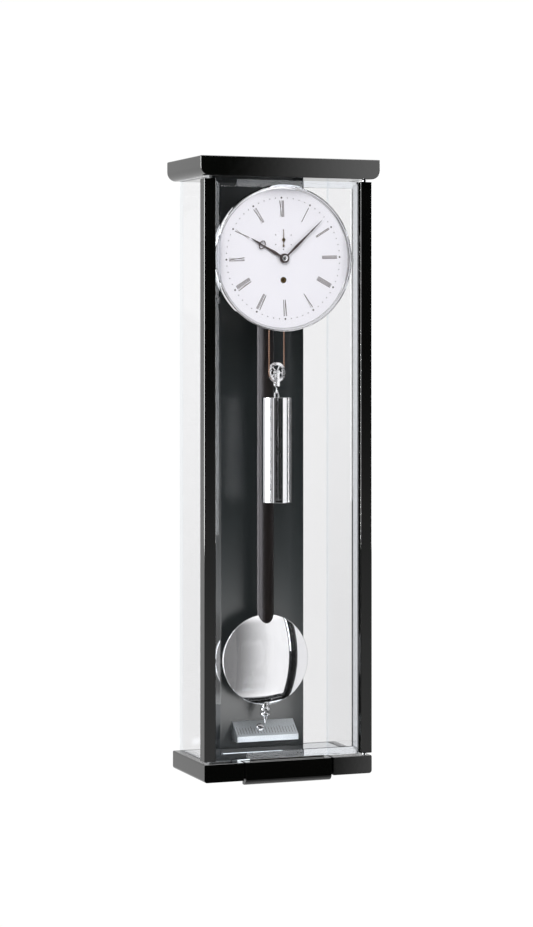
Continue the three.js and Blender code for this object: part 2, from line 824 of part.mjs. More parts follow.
function buildHands() {
  const hub = (hole, layer) =>
    frontPlate(circle(0, centre.z, 6.3, 24), [circle(0, centre.z, hole, 16)], ...layer);

  const hourBlade = frontPlate(
    blade(centre, [
      [5, 1.2],
      [16, 2],
      [29, 1],
      [36, 0.8],
      [41, 1.3],
      [53, 0.25],
    ]),
    [],
    ...LAYER.hourHand,
  );
  const ringZ = centre.z + 35.5;
  const ring = frontPlate(
    ellipse(0, ringZ, 6.2, 4.2, 20),
    [ellipse(0, ringZ, 5, 3.1, 20)],
    ...LAYER.hourHand,
  );
  const hourHand = join(hub(3.55, LAYER.hourHand), hourBlade, ring);
  add("hour_hand", pointAt(hourHand, centre, HOUR_ANGLE), handBrown);

  const minuteBlade = frontPlate(
    blade(centre, [
      [5, 0.9],
      [24, 1.7],
      [50, 0.75],
      [52, 1],
      [73.5, 0.2],
    ]),
    [],
    ...LAYER.minuteHand,
  );
  const minuteHand = join(hub(1.5, LAYER.minuteHand), minuteBlade);
  add("minute_hand", pointAt(minuteHand, centre, MINUTE_ANGLE), handBrown);

  const nut = turnedAlongDepth(
    [
      [0, 21.5],
      [2.6, 21.8],
      [4, 22.8],
      [4, 23.9],
      [0, 23.9],
    ],
    20,
    centre.x,
    centre.z,
  );
  add("hand_nut", nut, chrome);

  const pointer = frontPlate(
    blade(escape, [
      [-8.2, 0.5],
      [-4, 0.4],
      [0, 1.2],
      [4, 0.45],
      [14, 0.2],
    ]),
    [],
    ...LAYER.secondsHand,
  );
  const [near, far] = LAYER.secondsHand;
  const tail = spindle(1.4, near, far, escape.x, escape.z - 8.2, 12);
  const boss = spindle(2.3, near - 0.4, far, escape.x, escape.z, 16);
  add("seconds_hand", join(pointer, tail, boss), goldBrown);
}

function ellipse(cx, cy, halfWidth, halfHeight, steps) {
  return circle(0, 0, 1, steps).map(([x, y]) => [cx + x * halfWidth, cy + y * halfHeight]);
}

// ---------- Dial ----------

function buildDial() {
  const plate = frontPlate(
    circle(0, centre.z, DIAL.radius, 48),
    [
      circle(0, centre.z, 4, 16),
      circle(0, escape.z, 1.4, 12),
      circle(0, winding.z, DIAL.windingHole, 20),
    ],
    DIAL.frontDepth,
    DIAL.frontDepth + DIAL.thickness,
  );
  const feet = [
    [-31, 38],
    [31, 38],
    [-20, -50],
  ].map(([x, z]) => spindle(2, DIAL.frontDepth + 1, PLATE.front, x, centre.z + z, 12));
  add("dial", join(plate, ...feet), dialWhite);

  const bezel = turnedAlongDepth(
    [
      [BEZEL.sight, 29.8],
      [BEZEL.sight, 28.6],
      [93.2, 27.6],
      [93.9, 26.3],
      [95.8, 26.1],
      [BEZEL.radius, 27.2],
      [BEZEL.radius, 33.5],
      [92.6, 33.5],
      [92.6, 29.8],
    ],
    48,
    0,
    centre.z,
  );
  add("bezel", bezel, chrome);
}

// ---------- Movement frame ----------

function buildMovementFrame() {
  const { halfWidth, below, above, thickness } = PLATE;
  const low = DIAL_CENTRE - below;
  const high = DIAL_CENTRE + above;
  const ease = 5;
  const outline = [
    [-halfWidth + ease, low],
    [halfWidth - ease, low],
    [halfWidth, low + ease],
    [halfWidth, high - ease],
    [halfWidth - ease, high],
    [-halfWidth + ease, high],
    [-halfWidth, high - ease],
    [-halfWidth, low + ease],
  ];
  const hole = (point, radius) => circle(point.x, point.z, radius, 12);
  const pivotHole = PIVOT_RADIUS + 0.3;
  const anchorPoint = { x: 0, z: PIVOT };
  const frontHoles = [
    hole(centre, 1.5),
    hole(escape, 1.1),
    hole(winding, 3.4),
    hole(minuteArbor, pivotHole),
    ...[third, intermediate, anchorPoint].map((point) => hole(point, pivotHole)),
  ];
  add(
    "movement_front_plate",
    frontPlate(outline, frontHoles, PLATE.front, PLATE.front + thickness),
    brass,
  );
  const pillarPoints = [-1, 1].flatMap((side) =>
    [PILLAR.low, PILLAR.high].map((z) => ({ x: side * PILLAR.x, z: DIAL_CENTRE + z })),
  );
  const backHoles = [
    ...[centre, escape, third, intermediate].map((point) => hole(point, pivotHole)),
    hole(winding, 2.3),
    hole(anchorPoint, 1.8),
    ...pillarPoints.map((point) => circle(point.x, point.z, PILLAR.radius + 0.2, 16)),
  ];
  add(
    "movement_back_plate",
    frontPlate(outline, backHoles, PLATE.back, PLATE.back + thickness),
    brass,
  );
  const names = ["lower_left", "upper_left", "lower_right", "upper_right"];
  pillarPoints.forEach((point, i) => {
    add(
      `movement_pillar_${names[i]}`,
      turnedAlongDepth(
        [
          [0, INSIDE.near],
          [PILLAR.radius, INSIDE.near],
          [PILLAR.radius, 121],
          [6.5, 122.5],
          [6.5, BACK_PANEL.frontDepth],
          [0, BACK_PANEL.frontDepth],
        ],
        16,
        point.x,
        point.z,
      ),
      steel,
    );
  });
  const postX = -CABLE.coil * Math.cos(CABLE.turn);
  const postZ = CABLE_POST_HEIGHT + 1.8;
  add("cable_post", spindle(1.6, INSIDE.near, CABLE.depth, postX, postZ, 12), steel);
}

// ---------- Escapement anchor, crutch and pendulum ----------

function buildEscapement() {
  const outline = [
    [0, 5],
    [7, 3.6],
    [17.4, -5.6],
    [16.4, -11],
    [13.2, -12.6],
    [13.6, -8.4],
    [5.6, -1.6],
    [0, -3.8],
    [-5.6, -1.6],
    [-13.6, -8.4],
    [-13.2, -12.6],
    [-16.4, -11],
    [-17.4, -5.6],
    [-7, 3.6],
  ].map(([x, z]) => [x, PIVOT + z]);
  const anchor = frontPlate(outline, [], ...LAYER.anchor);
  const arbor = turnedAlongDepth(
    [
      [0, INSIDE.near - 2.2],
      [PIVOT_RADIUS, INSIDE.near - 2.2],
      [PIVOT_RADIUS, INSIDE.near + SHAKE],
      [1.5, INSIDE.near + SHAKE],
      [1.5, LAYER.crutch[0] - 0.1],
      [0, LAYER.crutch[0] - 0.1],
    ],
    12,
    0,
    PIVOT,
  );
  add("pallet_anchor", join(anchor, arbor), steel);

  const forkHalf = ROD.width / 2 + 0.5;
  const rodNear = ROD.planeDepth - ROD.depth / 2;
  const forkTop = PIVOT - 78;
  const [near, far] = LAYER.crutch;
  const stem = block([-1.8, near, forkTop], [1.8, far, PIVOT]);
  const eye = spindle(4, near, far, 0, PIVOT, 16);
  const bridge = block(
    [-forkHalf - 1.6, near, forkTop - 4],
    [forkHalf + 1.6, rodNear - 1.5, forkTop],
  );
  const prong = (side) =>
    block(
      [Math.min(side * forkHalf, side * (forkHalf + 1.6)), near + 0.7, forkTop - 4],
      [Math.max(side * forkHalf, side * (forkHalf + 1.6)), ROD.planeDepth + 3, forkTop],
    );
  add("crutch", join(stem, eye, bridge, prong(-1), prong(1)), steel);
}

function buildPendulum() {
  const y = ROD.planeDepth;
  const flange = block([-16, 82.5, PIVOT + 4.5], [16, 86.5, PIVOT + 13]);
  const arm = block([-9, 86, PIVOT + 6], [9, y + 7, PIVOT + 10]);
  const slot = block([-1.3, y - 5.5, PIVOT], [1.3, y + 9, PIVOT + 12]);
  add("suspension_cock", cut(join(flange, arm), slot), brass);

  const strip = block([-0.3, y - 4, PIVOT - 15], [0.3, y + 4, PIVOT + 11]);
  const hanger = block([-3.2, y - 6, PIVOT + 10.4], [3.2, y + 6, PIVOT + 14.4]);
  const clamp = block([-5, y - 5.5, PIVOT - 20], [5, y + 5.5, PIVOT - 13]);
  add("suspension_spring", join(strip, hanger, clamp), steel);

  const bobTop = BOB.z + BOB.radius;
  const rodFoot = bobTop - BOB.boreDepth;
  const rodSection = (grow) =>
    ellipse(0, depthAt(y), ROD.width / 2 + grow, ROD.depth / 2 + grow, 28);
  add("pendulum_rod", flatPlate(rodSection(0), [], rodFoot, ROD.top), darkWood);

  const { radius, halfThickness, rimHalf } = BOB;
  const faceStations = [0, 0.3, 0.55, 0.76, 0.92];
  const bulge = (share) => rimHalf + (halfThickness - rimHalf) * (1 - share ** 2);
  const front = faceStations.map((share) => [radius * share, y - bulge(share)]);
  const rim = [
    [radius * 0.985, y - rimHalf - 0.7],
    [radius, y - rimHalf],
    [radius, y + rimHalf],
    [radius * 0.985, y + rimHalf + 0.7],
  ];
  const back = [...faceStations].reverse().map((share) => [radius * share, y + bulge(share)]);
  const lens = turnedAlongDepth([...front, ...rim, ...back], 40, 0, BOB.z);
  const rodBore = flatPlate(rodSection(0.3), [], rodFoot - 0.3, bobTop + 5);
  const nutSeat = BOB.z - radius + 4.8;
  const screwBore = turnedUpright(disc(1.9, nutSeat - 1, rodFoot), 12, 0, depthAt(y));
  const nutBore = turnedUpright(disc(4.9, BOB.z - radius - 5, nutSeat), 24, 0, depthAt(y));
  add("pendulum_bob", cut(lens, rodBore, screwBore, nutBore), chrome);

  buildRatingParts(y, nutSeat, rodFoot);
}

// Below the bob: the regulating screw, a domed rating nut and a thinner lock nut.
function buildRatingParts(y, nutSeat, rodFoot) {
  const nut = turnedUpright(
    [
      [1.9, 83.4],
      [4.2, 83.4],
      [6.8, 84.9],
      [6.8, 87.2],
      [4.6, 88.6],
      [4.6, nutSeat - 2.4],
      [3.6, nutSeat - 1],
      [1.9, nutSeat - 0.3],
    ],
    18,
    0,
    depthAt(y),
  );
  add("rating_nut", nut, chrome);
  const lock = turnedUpright(
    [
      [1.9, 76],
      [3.4, 76],
      [4, 77.8],
      [6.8, 78.6],
      [6.8, 80.6],
      [5.4, 81.6],
      [1.9, 81.6],
    ],
    18,
    0,
    depthAt(y),
  );
  add("lock_nut", lock, chrome);
  const screw = turnedUpright(
    [
      [0, 65],
      [0.9, 67.5],
      [1.6, 71.5],
      [3, 73],
      [3, 74.4],
      [1.6, 75.7],
      [1.6, rodFoot - 0.1],
      [0, rodFoot - 0.1],
    ],
    12,
    0,
    depthAt(y),
  );
  add("rating_screw", screw, chrome);
}

// ---------- Weight, pulley and cable ----------

// The pulley hangs turned a little, since the cable leaves the drum behind its fixed end.
function turnedWithPulley(geometry) {
  geometry.translate(0, -PULLEY_Y, 0);
  geometry.rotateZ(CABLE.turn);
  geometry.translate(0, PULLEY_Y, 0);
  return geometry;
}

function buildPulley() {
  const mid = PULLEY_DEPTH;
  const half = PULLEY.thickness / 2;
  const rim = turnedAlongDepth(
    [
      [PULLEY.groove - 1.4, mid - 1.6],
      [PULLEY.radius - 0.5, mid - half],
      [PULLEY.radius, mid - half + 0.6],
      [PULLEY.groove, mid - 0.7],
      [PULLEY.groove, mid + 0.7],
      [PULLEY.radius, mid + half - 0.6],
      [PULLEY.radius - 0.5, mid + half],
      [PULLEY.groove - 1.4, mid + 1.6],
    ],
    32,
    0,
    PULLEY.z,
  );
  const hub = spindle(2.8, mid - 2.2, mid + 2.2, 0, PULLEY.z, 16);
  const spokes = [];
  for (let i = 0; i < 5; i += 1) {
    const spoke = block([-0.55, mid - 0.8, PULLEY.z + 1.5], [0.55, mid + 0.8, PULLEY.z + 10.2]);
    spokes.push(pointAt(spoke, { x: 0, z: PULLEY.z }, (i + 0.35) * ((2 * Math.PI) / 5)));
  }
  const wheel = join(rim, hub, ...spokes);
  const bore = spindle(1.5, mid - 5, mid + 5, 0, PULLEY.z, 16);
  add("pulley", turnedWithPulley(cut(wheel, bore)), chrome);

  const axle = spindle(1.2, mid - 4.9, mid + 4.9, 0, PULLEY.z, 12);
  const yokePin = spindle(1.1, mid - 4, mid + 4, 0, YOKE_PIN_Z, 12);
  const strapOutline = blade({ x: 0, z: PULLEY.z }, [
    [YOKE_PIN_Z - PULLEY.z - 1.8, 1.2],
    [YOKE_PIN_Z - PULLEY.z, 2],
    [-4, 1.6],
    [0, 2.6],
    [2.6, 1.2],
  ]);
  const strap = (near) => frontPlate(strapOutline, [], near, near + 1.2);
  const stirrup = join(strap(mid - 4.4), strap(mid + 3.2), yokePin, axle);
  add("pulley_stirrup", turnedWithPulley(stirrup), chrome);
}

// Round wire swept along a curve.
function wire(extrudePath, radius, steps, sides) {
  const section = shapeOf(circle(0, 0, radius, sides));
  return new THREE.ExtrudeGeometry(section, { steps, extrudePath, curveSegments: 1 });
}

const smoothCurve = (points) =>
  new THREE.CatmullRomCurve3(points.map(([x, y, z]) => new THREE.Vector3(x, y, z)));

// The cable's way under the pulley, as an exact half circle.
class HalfTurn extends THREE.Curve {
  getPoint(share) {
    const angle = Math.PI * (1 + share);
    const x = CABLE.coil * Math.cos(angle);
    return new THREE.Vector3(x, PULLEY_Y, PULLEY.z + CABLE.coil * Math.sin(angle));
  }
}

function buildWeight() {
  const y = PULLEY_Y;
  const bottom = WEIGHT.top - WEIGHT.length;
  const shell = turnedUpright(
    [
      [0, bottom],
      [WEIGHT.radius - 1.2, bottom],
      [WEIGHT.radius, bottom + 1.2],
      [WEIGHT.radius, WEIGHT.top - 0.8],
      [WEIGHT.radius - 0.8, WEIGHT.top],
      [0, WEIGHT.top],
    ],
    40,
    0,
    y,
  );
  add("weight", shell, chrome);

  const { half, wire: wireRadius, barZ } = WEIGHT_EYE;
  const bend = arc(0, barZ - half, half, 0, Math.PI, 6).map(([x, z]) => [x, y, z]);
  const staple = [[half, y, WEIGHT.top], [half, y, WEIGHT.top + 2.5], ...bend];
  staple.push([-half, y, WEIGHT.top + 2.5], [-half, y, WEIGHT.top]);
  add("weight_eye", wire(smoothCurve(staple), wireRadius, 14, 6), chrome);

  // The upper loop of the hook lies across the lower one.
  const loop = 2.4;
  const upperZ = YOKE_PIN_Z - 0.4;
  const lowerZ = barZ + 0.5;
  const degrees = THREE.MathUtils.degToRad;
  const upper = arc(0, upperZ, loop, degrees(-35), degrees(235), 9).map(([x, z]) => [x, y, z]);
  const lower = arc(0, lowerZ, loop, degrees(55), degrees(-215), 9).map(([dy, z]) => [0, y + dy, z]);
  const middle = [0, y, (upperZ + lowerZ) / 2];
  add("weight_hook", wire(smoothCurve([...upper, middle, ...lower]), 0.8, 28, 6), chrome);
}

// One cable runs from its post down round the pulley and up to the drum.
function buildCable() {
  const mid = PULLEY_Y;
  const dx = CABLE.coil * Math.cos(CABLE.turn);
  const dy = CABLE.coil * Math.sin(CABLE.turn);
  const strand = (x, y, top) => turnedUpright(disc(CABLE.radius, PULLEY.z, top), 10, x, y);
  add("cable_fixed_strand", strand(-dx, mid - dy, CABLE_POST_HEIGHT), cableBrown);
  add("cable_drum_strand", strand(dx, mid + dy, winding.z), cableBrown);
  const loop = wire(new HalfTurn(), CABLE.radius, 16, 6);
  add("cable_pulley_loop", turnedWithPulley(loop), cableBrown);
}

// ---------- Beat scale ----------

// A wedge on the back panel whose sloping face carries the marks below the pendulum's tip.
function buildBeatScale() {
  const { left, right, foot, lip, top, front } = SCALE;
  const back = depthAt(BACK_PANEL.frontDepth);
  const near = depthAt(front);
  const section = [
    [near, foot],
    [back, foot],
    [back, top],
    [back - 0.8, top],
    [near, lip],
  ];
  const slope = Math.atan2(top - lip, BACK_PANEL.frontDepth - 0.8 - front);
  const screwAt = { x: -1.2, depth: 116, lift: lip + Math.tan(slope) * (116 - front) };
  const onSlope = (profile) => {
    const geometry = turned(profile, 20);
    geometry.rotateX(Math.PI / 2);
    geometry.rotateX(slope);
    geometry.translate(screwAt.x, depthAt(screwAt.depth), screwAt.lift);
    return geometry;
  };
  const socket = onSlope(disc(2, -7, 3));
  add("beat_scale", cut(sectionBar(section, left, right), socket), silvered);
  const screw = onSlope([
    [0, -6],
    [1.6, -6],
    [1.6, 0.4],
    [5.4, 0.4],
    [5.4, 3.2],
    [4.6, 4],
    [0, 4.4],
  ]);
  add("beat_scale_screw", screw, chrome);
}

buildCase();
buildWallHanger();
buildDoor();
buildMovementFrame();
buildGoingTrain();
buildDrum();
buildMotionWork();
buildDial();
buildHands();
buildEscapement();
buildPendulum();
buildPulley();
buildWeight();
buildCable();
buildBeatScale();

export default clock;
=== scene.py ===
"""A wall-hung regulator clock: finishes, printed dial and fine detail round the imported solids.

Everything is in metres in the clock's own frame: +Z up, the dial faces -Y, the wall is at +Y.
"""
import math

import bmesh
import bpy
from mathutils import Matrix, Vector


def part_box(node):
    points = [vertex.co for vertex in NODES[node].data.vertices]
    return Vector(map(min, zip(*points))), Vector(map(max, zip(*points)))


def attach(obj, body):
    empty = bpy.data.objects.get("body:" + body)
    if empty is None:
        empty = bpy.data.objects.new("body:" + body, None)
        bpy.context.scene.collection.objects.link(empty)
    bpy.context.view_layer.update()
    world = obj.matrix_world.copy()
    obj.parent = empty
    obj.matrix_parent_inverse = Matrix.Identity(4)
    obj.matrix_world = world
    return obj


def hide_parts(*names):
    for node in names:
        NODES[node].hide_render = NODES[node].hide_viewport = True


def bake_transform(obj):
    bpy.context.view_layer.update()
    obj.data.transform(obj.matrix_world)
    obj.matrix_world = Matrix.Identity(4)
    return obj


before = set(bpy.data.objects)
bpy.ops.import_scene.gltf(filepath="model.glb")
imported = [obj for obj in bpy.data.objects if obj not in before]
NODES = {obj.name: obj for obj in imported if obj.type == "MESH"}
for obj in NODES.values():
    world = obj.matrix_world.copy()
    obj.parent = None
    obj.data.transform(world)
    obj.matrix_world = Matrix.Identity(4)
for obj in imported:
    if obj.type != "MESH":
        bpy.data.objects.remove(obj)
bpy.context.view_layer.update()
MM = 0.001


def centre_of(node):
    low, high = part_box(node)
    return (low + high) / 2


# ---------- Camera ----------

# The camera stands level in front of the clock and to its left, some three metres away.
CAMERA_PLACE = (-1.210, -3.188, 0.569)
CAMERA_HEADING = math.radians(20.645)
LENS = 99.1
RISE = -0.1223


def build_camera():
    """A level camera to the clock's left; the lens is shifted so that uprights stay parallel."""
    data = bpy.data.cameras.new("camera")
    data.lens = LENS
    data.sensor_width = 36
    data.shift_y = RISE
    camera = bpy.data.objects.new("camera", data)
    camera.location = CAMERA_PLACE
    camera.rotation_euler = (math.radians(90), 0, -CAMERA_HEADING)
    bpy.context.scene.collection.objects.link(camera)
    bpy.context.scene.camera = camera


# ---------- Node helpers ----------


class Tree:
    """A short way to write shader node trees."""

    def __init__(self, node_tree):
        self.tree = node_tree
        node_tree.nodes.clear()

    def node(self, kind, **settings):
        made = self.tree.nodes.new(kind)
        for name, value in settings.items():
            setattr(made, name, value)
        return made

    def link(self, source, target):
        self.tree.links.new(source, target)

    def put(self, value, socket):
        """Links a socket, or stores a plain value."""
        if isinstance(value, bpy.types.NodeSocket):
            self.link(value, socket)
        else:
            socket.default_value = value

    def math(self, operation, first, second=0.0, clamp=False):
        made = self.node("ShaderNodeMath", operation=operation, use_clamp=clamp)
        self.put(first, made.inputs[0])
        self.put(second, made.inputs[1])
        return made.outputs[0]

    def ramp(self, value, low, high, bottom=0.0, top=1.0):
        """A smooth step from bottom to top as the value goes from low to high."""
        made = self.node("ShaderNodeMapRange", interpolation_type="SMOOTHSTEP")
        self.put(value, made.inputs["Value"])
        made.inputs["From Min"].default_value = low
        made.inputs["From Max"].default_value = high
        made.inputs["To Min"].default_value = bottom
        made.inputs["To Max"].default_value = top
        return made.outputs["Result"]

    def mix(self, share, first, second):
        made = self.node("ShaderNodeMix", data_type="RGBA")
        self.put(share, made.inputs[0])
        self.put(first, made.inputs[6])
        self.put(second, made.inputs[7])
        return made.outputs[2]

    def noise(self, where, scale, detail=2.0, roughness=0.5):
        made = self.node("ShaderNodeTexNoise")
        self.link(where, made.inputs["Vector"])
        made.inputs["Scale"].default_value = scale
        made.inputs["Detail"].default_value = detail
        made.inputs["Roughness"].default_value = roughness
        return made.outputs["Fac"]

    def place(self, scale=(1, 1, 1)):
        """Positions in the clock's frame, stretched along each axis."""
        coordinates = self.node("ShaderNodeTexCoord")
        mapping = self.node("ShaderNodeMapping")
        mapping.inputs["Scale"].default_value = scale
        self.link(coordinates.outputs["Object"], mapping.inputs["Vector"])
        return mapping.outputs["Vector"]

    def axes(self, vector):
        made = self.node("ShaderNodeSeparateXYZ")
        self.link(vector, made.inputs[0])
        return made.outputs

    def bump(self, height, distance, strength=1.0):
        made = self.node("ShaderNodeBump")
        made.inputs["Distance"].default_value = distance
        made.inputs["Strength"].default_value = strength
        self.link(height, made.inputs["Height"])
        return made.outputs["Normal"]


def colour(red, green, blue):
    return (red, green, blue, 1.0)


def principled(name, **settings):
    """A material with one Principled shader. Returns the material, its tree and the shader."""
    material = bpy.data.materials.new(name)
    material.use_nodes = True
    tree = Tree(material.node_tree)
    output = tree.node("ShaderNodeOutputMaterial")
    shader = tree.node("ShaderNodeBsdfPrincipled")
    tree.link(shader.outputs[0], output.inputs["Surface"])
    for socket, value in settings.items():
        tree.put(value, shader.inputs[socket.replace("_", " ")])
    return material, tree, shader


# ---------- Materials ----------


def lacquer_material():
    """Deep black polished lacquer: a faint ripple, fine dust and hairline wear in the gloss."""
    material, tree, shader = principled("black_lacquer", IOR=1.5)
    where = tree.place()
    cloud = tree.noise(where, 9, 3)
    tree.link(tree.mix(cloud, colour(0.0004, 0.0005, 0.0004), colour(0.0010, 0.0010, 0.0009)),
              shader.inputs["Base Color"])
    haze = tree.noise(where, 55, 4)
    tree.link(tree.ramp(haze, 0.35, 0.75, 0.025, 0.07), shader.inputs["Roughness"])
    tree.link(tree.bump(tree.noise(where, 160, 1), 0.00001), shader.inputs["Normal"])
    return material


def panel_material():
    """The back panel: dark grey satin lacquer with the faintest cloudiness."""
    material, tree, shader = principled("panel_lacquer", IOR=1.5)
    where = tree.place()
    cloud = tree.noise(where, 30, 3)
    tree.link(tree.mix(cloud, colour(0.0145, 0.0180, 0.0190), colour(0.0155, 0.0190, 0.0200)),
              shader.inputs["Base Color"])
    tree.link(tree.ramp(tree.noise(where, 900, 2), 0.3, 0.8, 0.275, 0.29), shader.inputs["Roughness"])
    tree.link(tree.bump(tree.noise(where, 2200, 2), 0.000004), shader.inputs["Normal"])
    return material


GLASS_INDEX = 1.5


def glass_material(name, thin_axis, clearness, dust_and_shade):
    """Thin plate glass, glossy on its faces, with pale cut edges, a faint random film, and painted shade
    that dims it towards its foot.
    """
    material = bpy.data.materials.new(name)
    material.use_nodes = True
    tree = Tree(material.node_tree)
    output = tree.node("ShaderNodeOutputMaterial")
    clear = tree.node("ShaderNodeBsdfTransparent")
    gloss = tree.node("ShaderNodeBsdfGlossy")
    gloss.inputs["Color"].default_value = colour(1, 1, 1)
    gloss.inputs["Roughness"].default_value = 0.0
    geometry = tree.node("ShaderNodeNewGeometry")
    fresnel = tree.node("ShaderNodeFresnel")
    index = tree.ramp(geometry.outputs["Backfacing"], 0, 1, GLASS_INDEX, 1 / GLASS_INDEX)
    tree.link(index, fresnel.inputs["IOR"])
    sides = tree.axes(geometry.outputs["True Normal"])
    on_face = tree.ramp(tree.math("ABSOLUTE", sides[thin_axis]), 0.4, 0.7)
    where = tree.place()
    film = tree.math("MULTIPLY", tree.noise(where, 18, 2), 0.1)
    # Painted shade: the glass passes less light towards its foot, from 0.65 m down to 0.1 m, dimmed by
    # the last argument's share, with a faint random film on top.
    clear_share = tree.math("ADD", film, tree.ramp(tree.axes(where)[2], 0.1, 0.65, 0.0, 0.9))
    face = tree.mix(clear_share, colour(*[dust_and_shade * c for c in clearness]), colour(*clearness))
    edge = colour(0.93, 0.95, 0.965)
    tree.link(tree.mix(on_face, edge, face), clear.inputs["Color"])
    mixed = tree.node("ShaderNodeMixShader")
    tree.link(fresnel.outputs[0], mixed.inputs[0])
    tree.link(clear.outputs[0], mixed.inputs[1])
    tree.link(gloss.outputs[0], mixed.inputs[2])
    tree.link(mixed.outputs[0], output.inputs["Surface"])
    return material


def bevel_glass_material():
    """The ground and polished bevel round the door pane, which bends what is behind it."""
    material, tree, shader = principled("bevel_glass", IOR=1.5, Roughness=0.0)
    shader.inputs["Transmission Weight"].default_value = 1.0
    ripple = tree.noise(tree.place(), 30, 2)
    tree.link(tree.mix(ripple, colour(0.79, 0.81, 0.84), colour(0.81, 0.83, 0.86)),
              shader.inputs["Base Color"])
    return material


def mirror_material():
    """Silvered glass laid in the base, with a little grime that varies at random."""
    material, tree, shader = principled("mirror_glass", Metallic=1.0)
    where = tree.place()
    tree.link(tree.mix(tree.noise(where, 14, 3), colour(0.74, 0.77, 0.80), colour(0.82, 0.84, 0.86)),
              shader.inputs["Base Color"])
    tree.link(tree.ramp(tree.noise(where, 120, 3), 0.4, 0.8, 0.008, 0.03),
              shader.inputs["Roughness"])
    return material


def metal_material(name, dark, light, smooth, rough, grain=(900, 900, 900), depth=0.000004):
    """A metal whose tone, gloss and fine grain vary. The grain gives lines per metre on each axis."""
    material, tree, shader = principled(name, Metallic=1.0)
    where = tree.place()
    cloud = tree.noise(where, 40, 3)
    tree.link(tree.mix(cloud, colour(*dark), colour(*light)), shader.inputs["Base Color"])
    lines = tree.noise(tree.place(grain), 1, 2)
    tree.link(tree.ramp(lines, 0.3, 0.7, smooth, rough), shader.inputs["Roughness"])
    tree.link(tree.bump(lines, depth), shader.inputs["Normal"])
    return material


def dial_material():
    """Matt white enamel with a barely visible stipple."""
    material, tree, shader = principled("dial_enamel", IOR=1.45)
    where = tree.place()
    tree.link(tree.mix(tree.noise(where, 25, 3), colour(0.905, 0.895, 0.945), colour(0.93, 0.92, 0.965)),
              shader.inputs["Base Color"])
    tree.link(tree.ramp(tree.noise(where, 300, 2), 0.3, 0.7, 0.38, 0.5), shader.inputs["Roughness"])
    tree.link(tree.bump(tree.noise(where, 2500, 1), 0.00001, 0.3), shader.inputs["Normal"])
    return material


def ink_material(name, dark, light):
    """Printed ink, thinner in places."""
    material, tree, shader = principled(name, IOR=1.4)
    where = tree.place()
    tree.link(tree.mix(tree.noise(where, 700, 3), colour(*dark), colour(*light)),
              shader.inputs["Base Color"])
    tree.link(tree.ramp(tree.noise(where, 400, 2), 0.3, 0.7, 0.4, 0.6), shader.inputs["Roughness"])
    return material


def rod_material():
    """Dark stained wood under polish: long grain along the rod and a satin coat."""
    material, tree, shader = principled("rod_wood", IOR=1.5)
    grain = tree.noise(tree.place((700, 700, 14)), 1, 4, 0.6)
    pores = tree.noise(tree.place((2600, 2600, 60)), 1, 2)
    wood = tree.mix(tree.ramp(grain, 0.35, 0.7), colour(0.0045, 0.0035, 0.003),
                    colour(0.0100, 0.0075, 0.0065))
    tree.link(wood, shader.inputs["Base Color"])
    tree.link(tree.ramp(grain, 0.3, 0.7, 0.30, 0.42), shader.inputs["Roughness"])
    shader.inputs["Specular Tint"].default_value = colour(0.93, 0.91, 1.0)
    shader.inputs["Coat Weight"].default_value = 0.3
    shader.inputs["Coat Roughness"].default_value = 0.3
    tree.link(tree.bump(pores, 0.00004, 0.4), shader.inputs["Normal"])
    return material


def cable_material():
    """Twisted copper-coloured wire rope."""
    material, tree, shader = principled("cable_wire", Metallic=0.8)
    where = tree.place()
    x, y, z = tree.axes(where)
    twist = tree.math("ADD", tree.math("MULTIPLY", z, 2600), tree.math("MULTIPLY", x, 1500))
    lay = tree.math("SINE", tree.math("ADD", twist, tree.math("MULTIPLY", y, 1500)))
    strand = tree.ramp(lay, -1, 1)
    tree.link(tree.mix(strand, colour(0.16, 0.085, 0.06), colour(0.52, 0.33, 0.24)),
              shader.inputs["Base Color"])
    tree.link(tree.ramp(lay, -1, 1, 0.5, 0.3), shader.inputs["Roughness"])
    tree.link(tree.bump(strand, 0.00015), shader.inputs["Normal"])
    return material


LACQUER = lacquer_material()
PANEL = panel_material()
# The last number is the share of clearness left at the glass's foot: painted shade, with a faint random
# film.
SIDE_GLASS = glass_material("side_plate_glass", 0, (0.966, 0.966, 0.970), 0.945)
FRONT_GLASS = glass_material("front_plate_glass", 1, (0.998, 0.998, 1.0), 0.985)
BEVEL_GLASS = bevel_glass_material()
MIRROR = mirror_material()
CHROME = metal_material("chrome", (0.86, 0.86, 0.88), (0.93, 0.93, 0.94), 0.015, 0.045,
                        (300, 300, 40), 0.000001)
SATIN_CHROME = metal_material("satin_chrome", (0.88, 0.88, 0.90), (0.95, 0.95, 0.96), 0.2, 0.3,
                              (500, 500, 500), 0.000002)
STEEL = metal_material("brushed_steel", (0.42, 0.43, 0.44), (0.60, 0.61, 0.62), 0.22, 0.4,
                       (4000, 200, 4000), 0.00001)
BRASS = metal_material("polished_brass", (0.60, 0.42, 0.16), (0.76, 0.56, 0.26), 0.14, 0.28,
                       (3000, 300, 3000), 0.000008)
DIAL_WHITE = dial_material()
INK = ink_material("numeral_ink", (0.075, 0.056, 0.048), (0.12, 0.095, 0.083))
DOT_INK = ink_material("dot_ink", (0.05, 0.04, 0.04), (0.09, 0.075, 0.075))
FAINT_INK = ink_material("minute_ink", (0.09, 0.08, 0.085), (0.16, 0.14, 0.145))
HAND_BROWN = ink_material("hand_brown", (0.055, 0.042, 0.042), (0.085, 0.068, 0.068))
HAND_GOLD = metal_material("hand_gold", (0.38, 0.28, 0.15), (0.66, 0.52, 0.32), 0.3, 0.45)
ROD_WOOD = rod_material()
CABLE_WIRE = cable_material()
SILVERED = metal_material("silvered_scale", (0.60, 0.64, 0.67), (0.74, 0.78, 0.81), 0.28, 0.42,
                          (200, 3500, 3500), 0.000006)


# ---------- Mesh helpers ----------


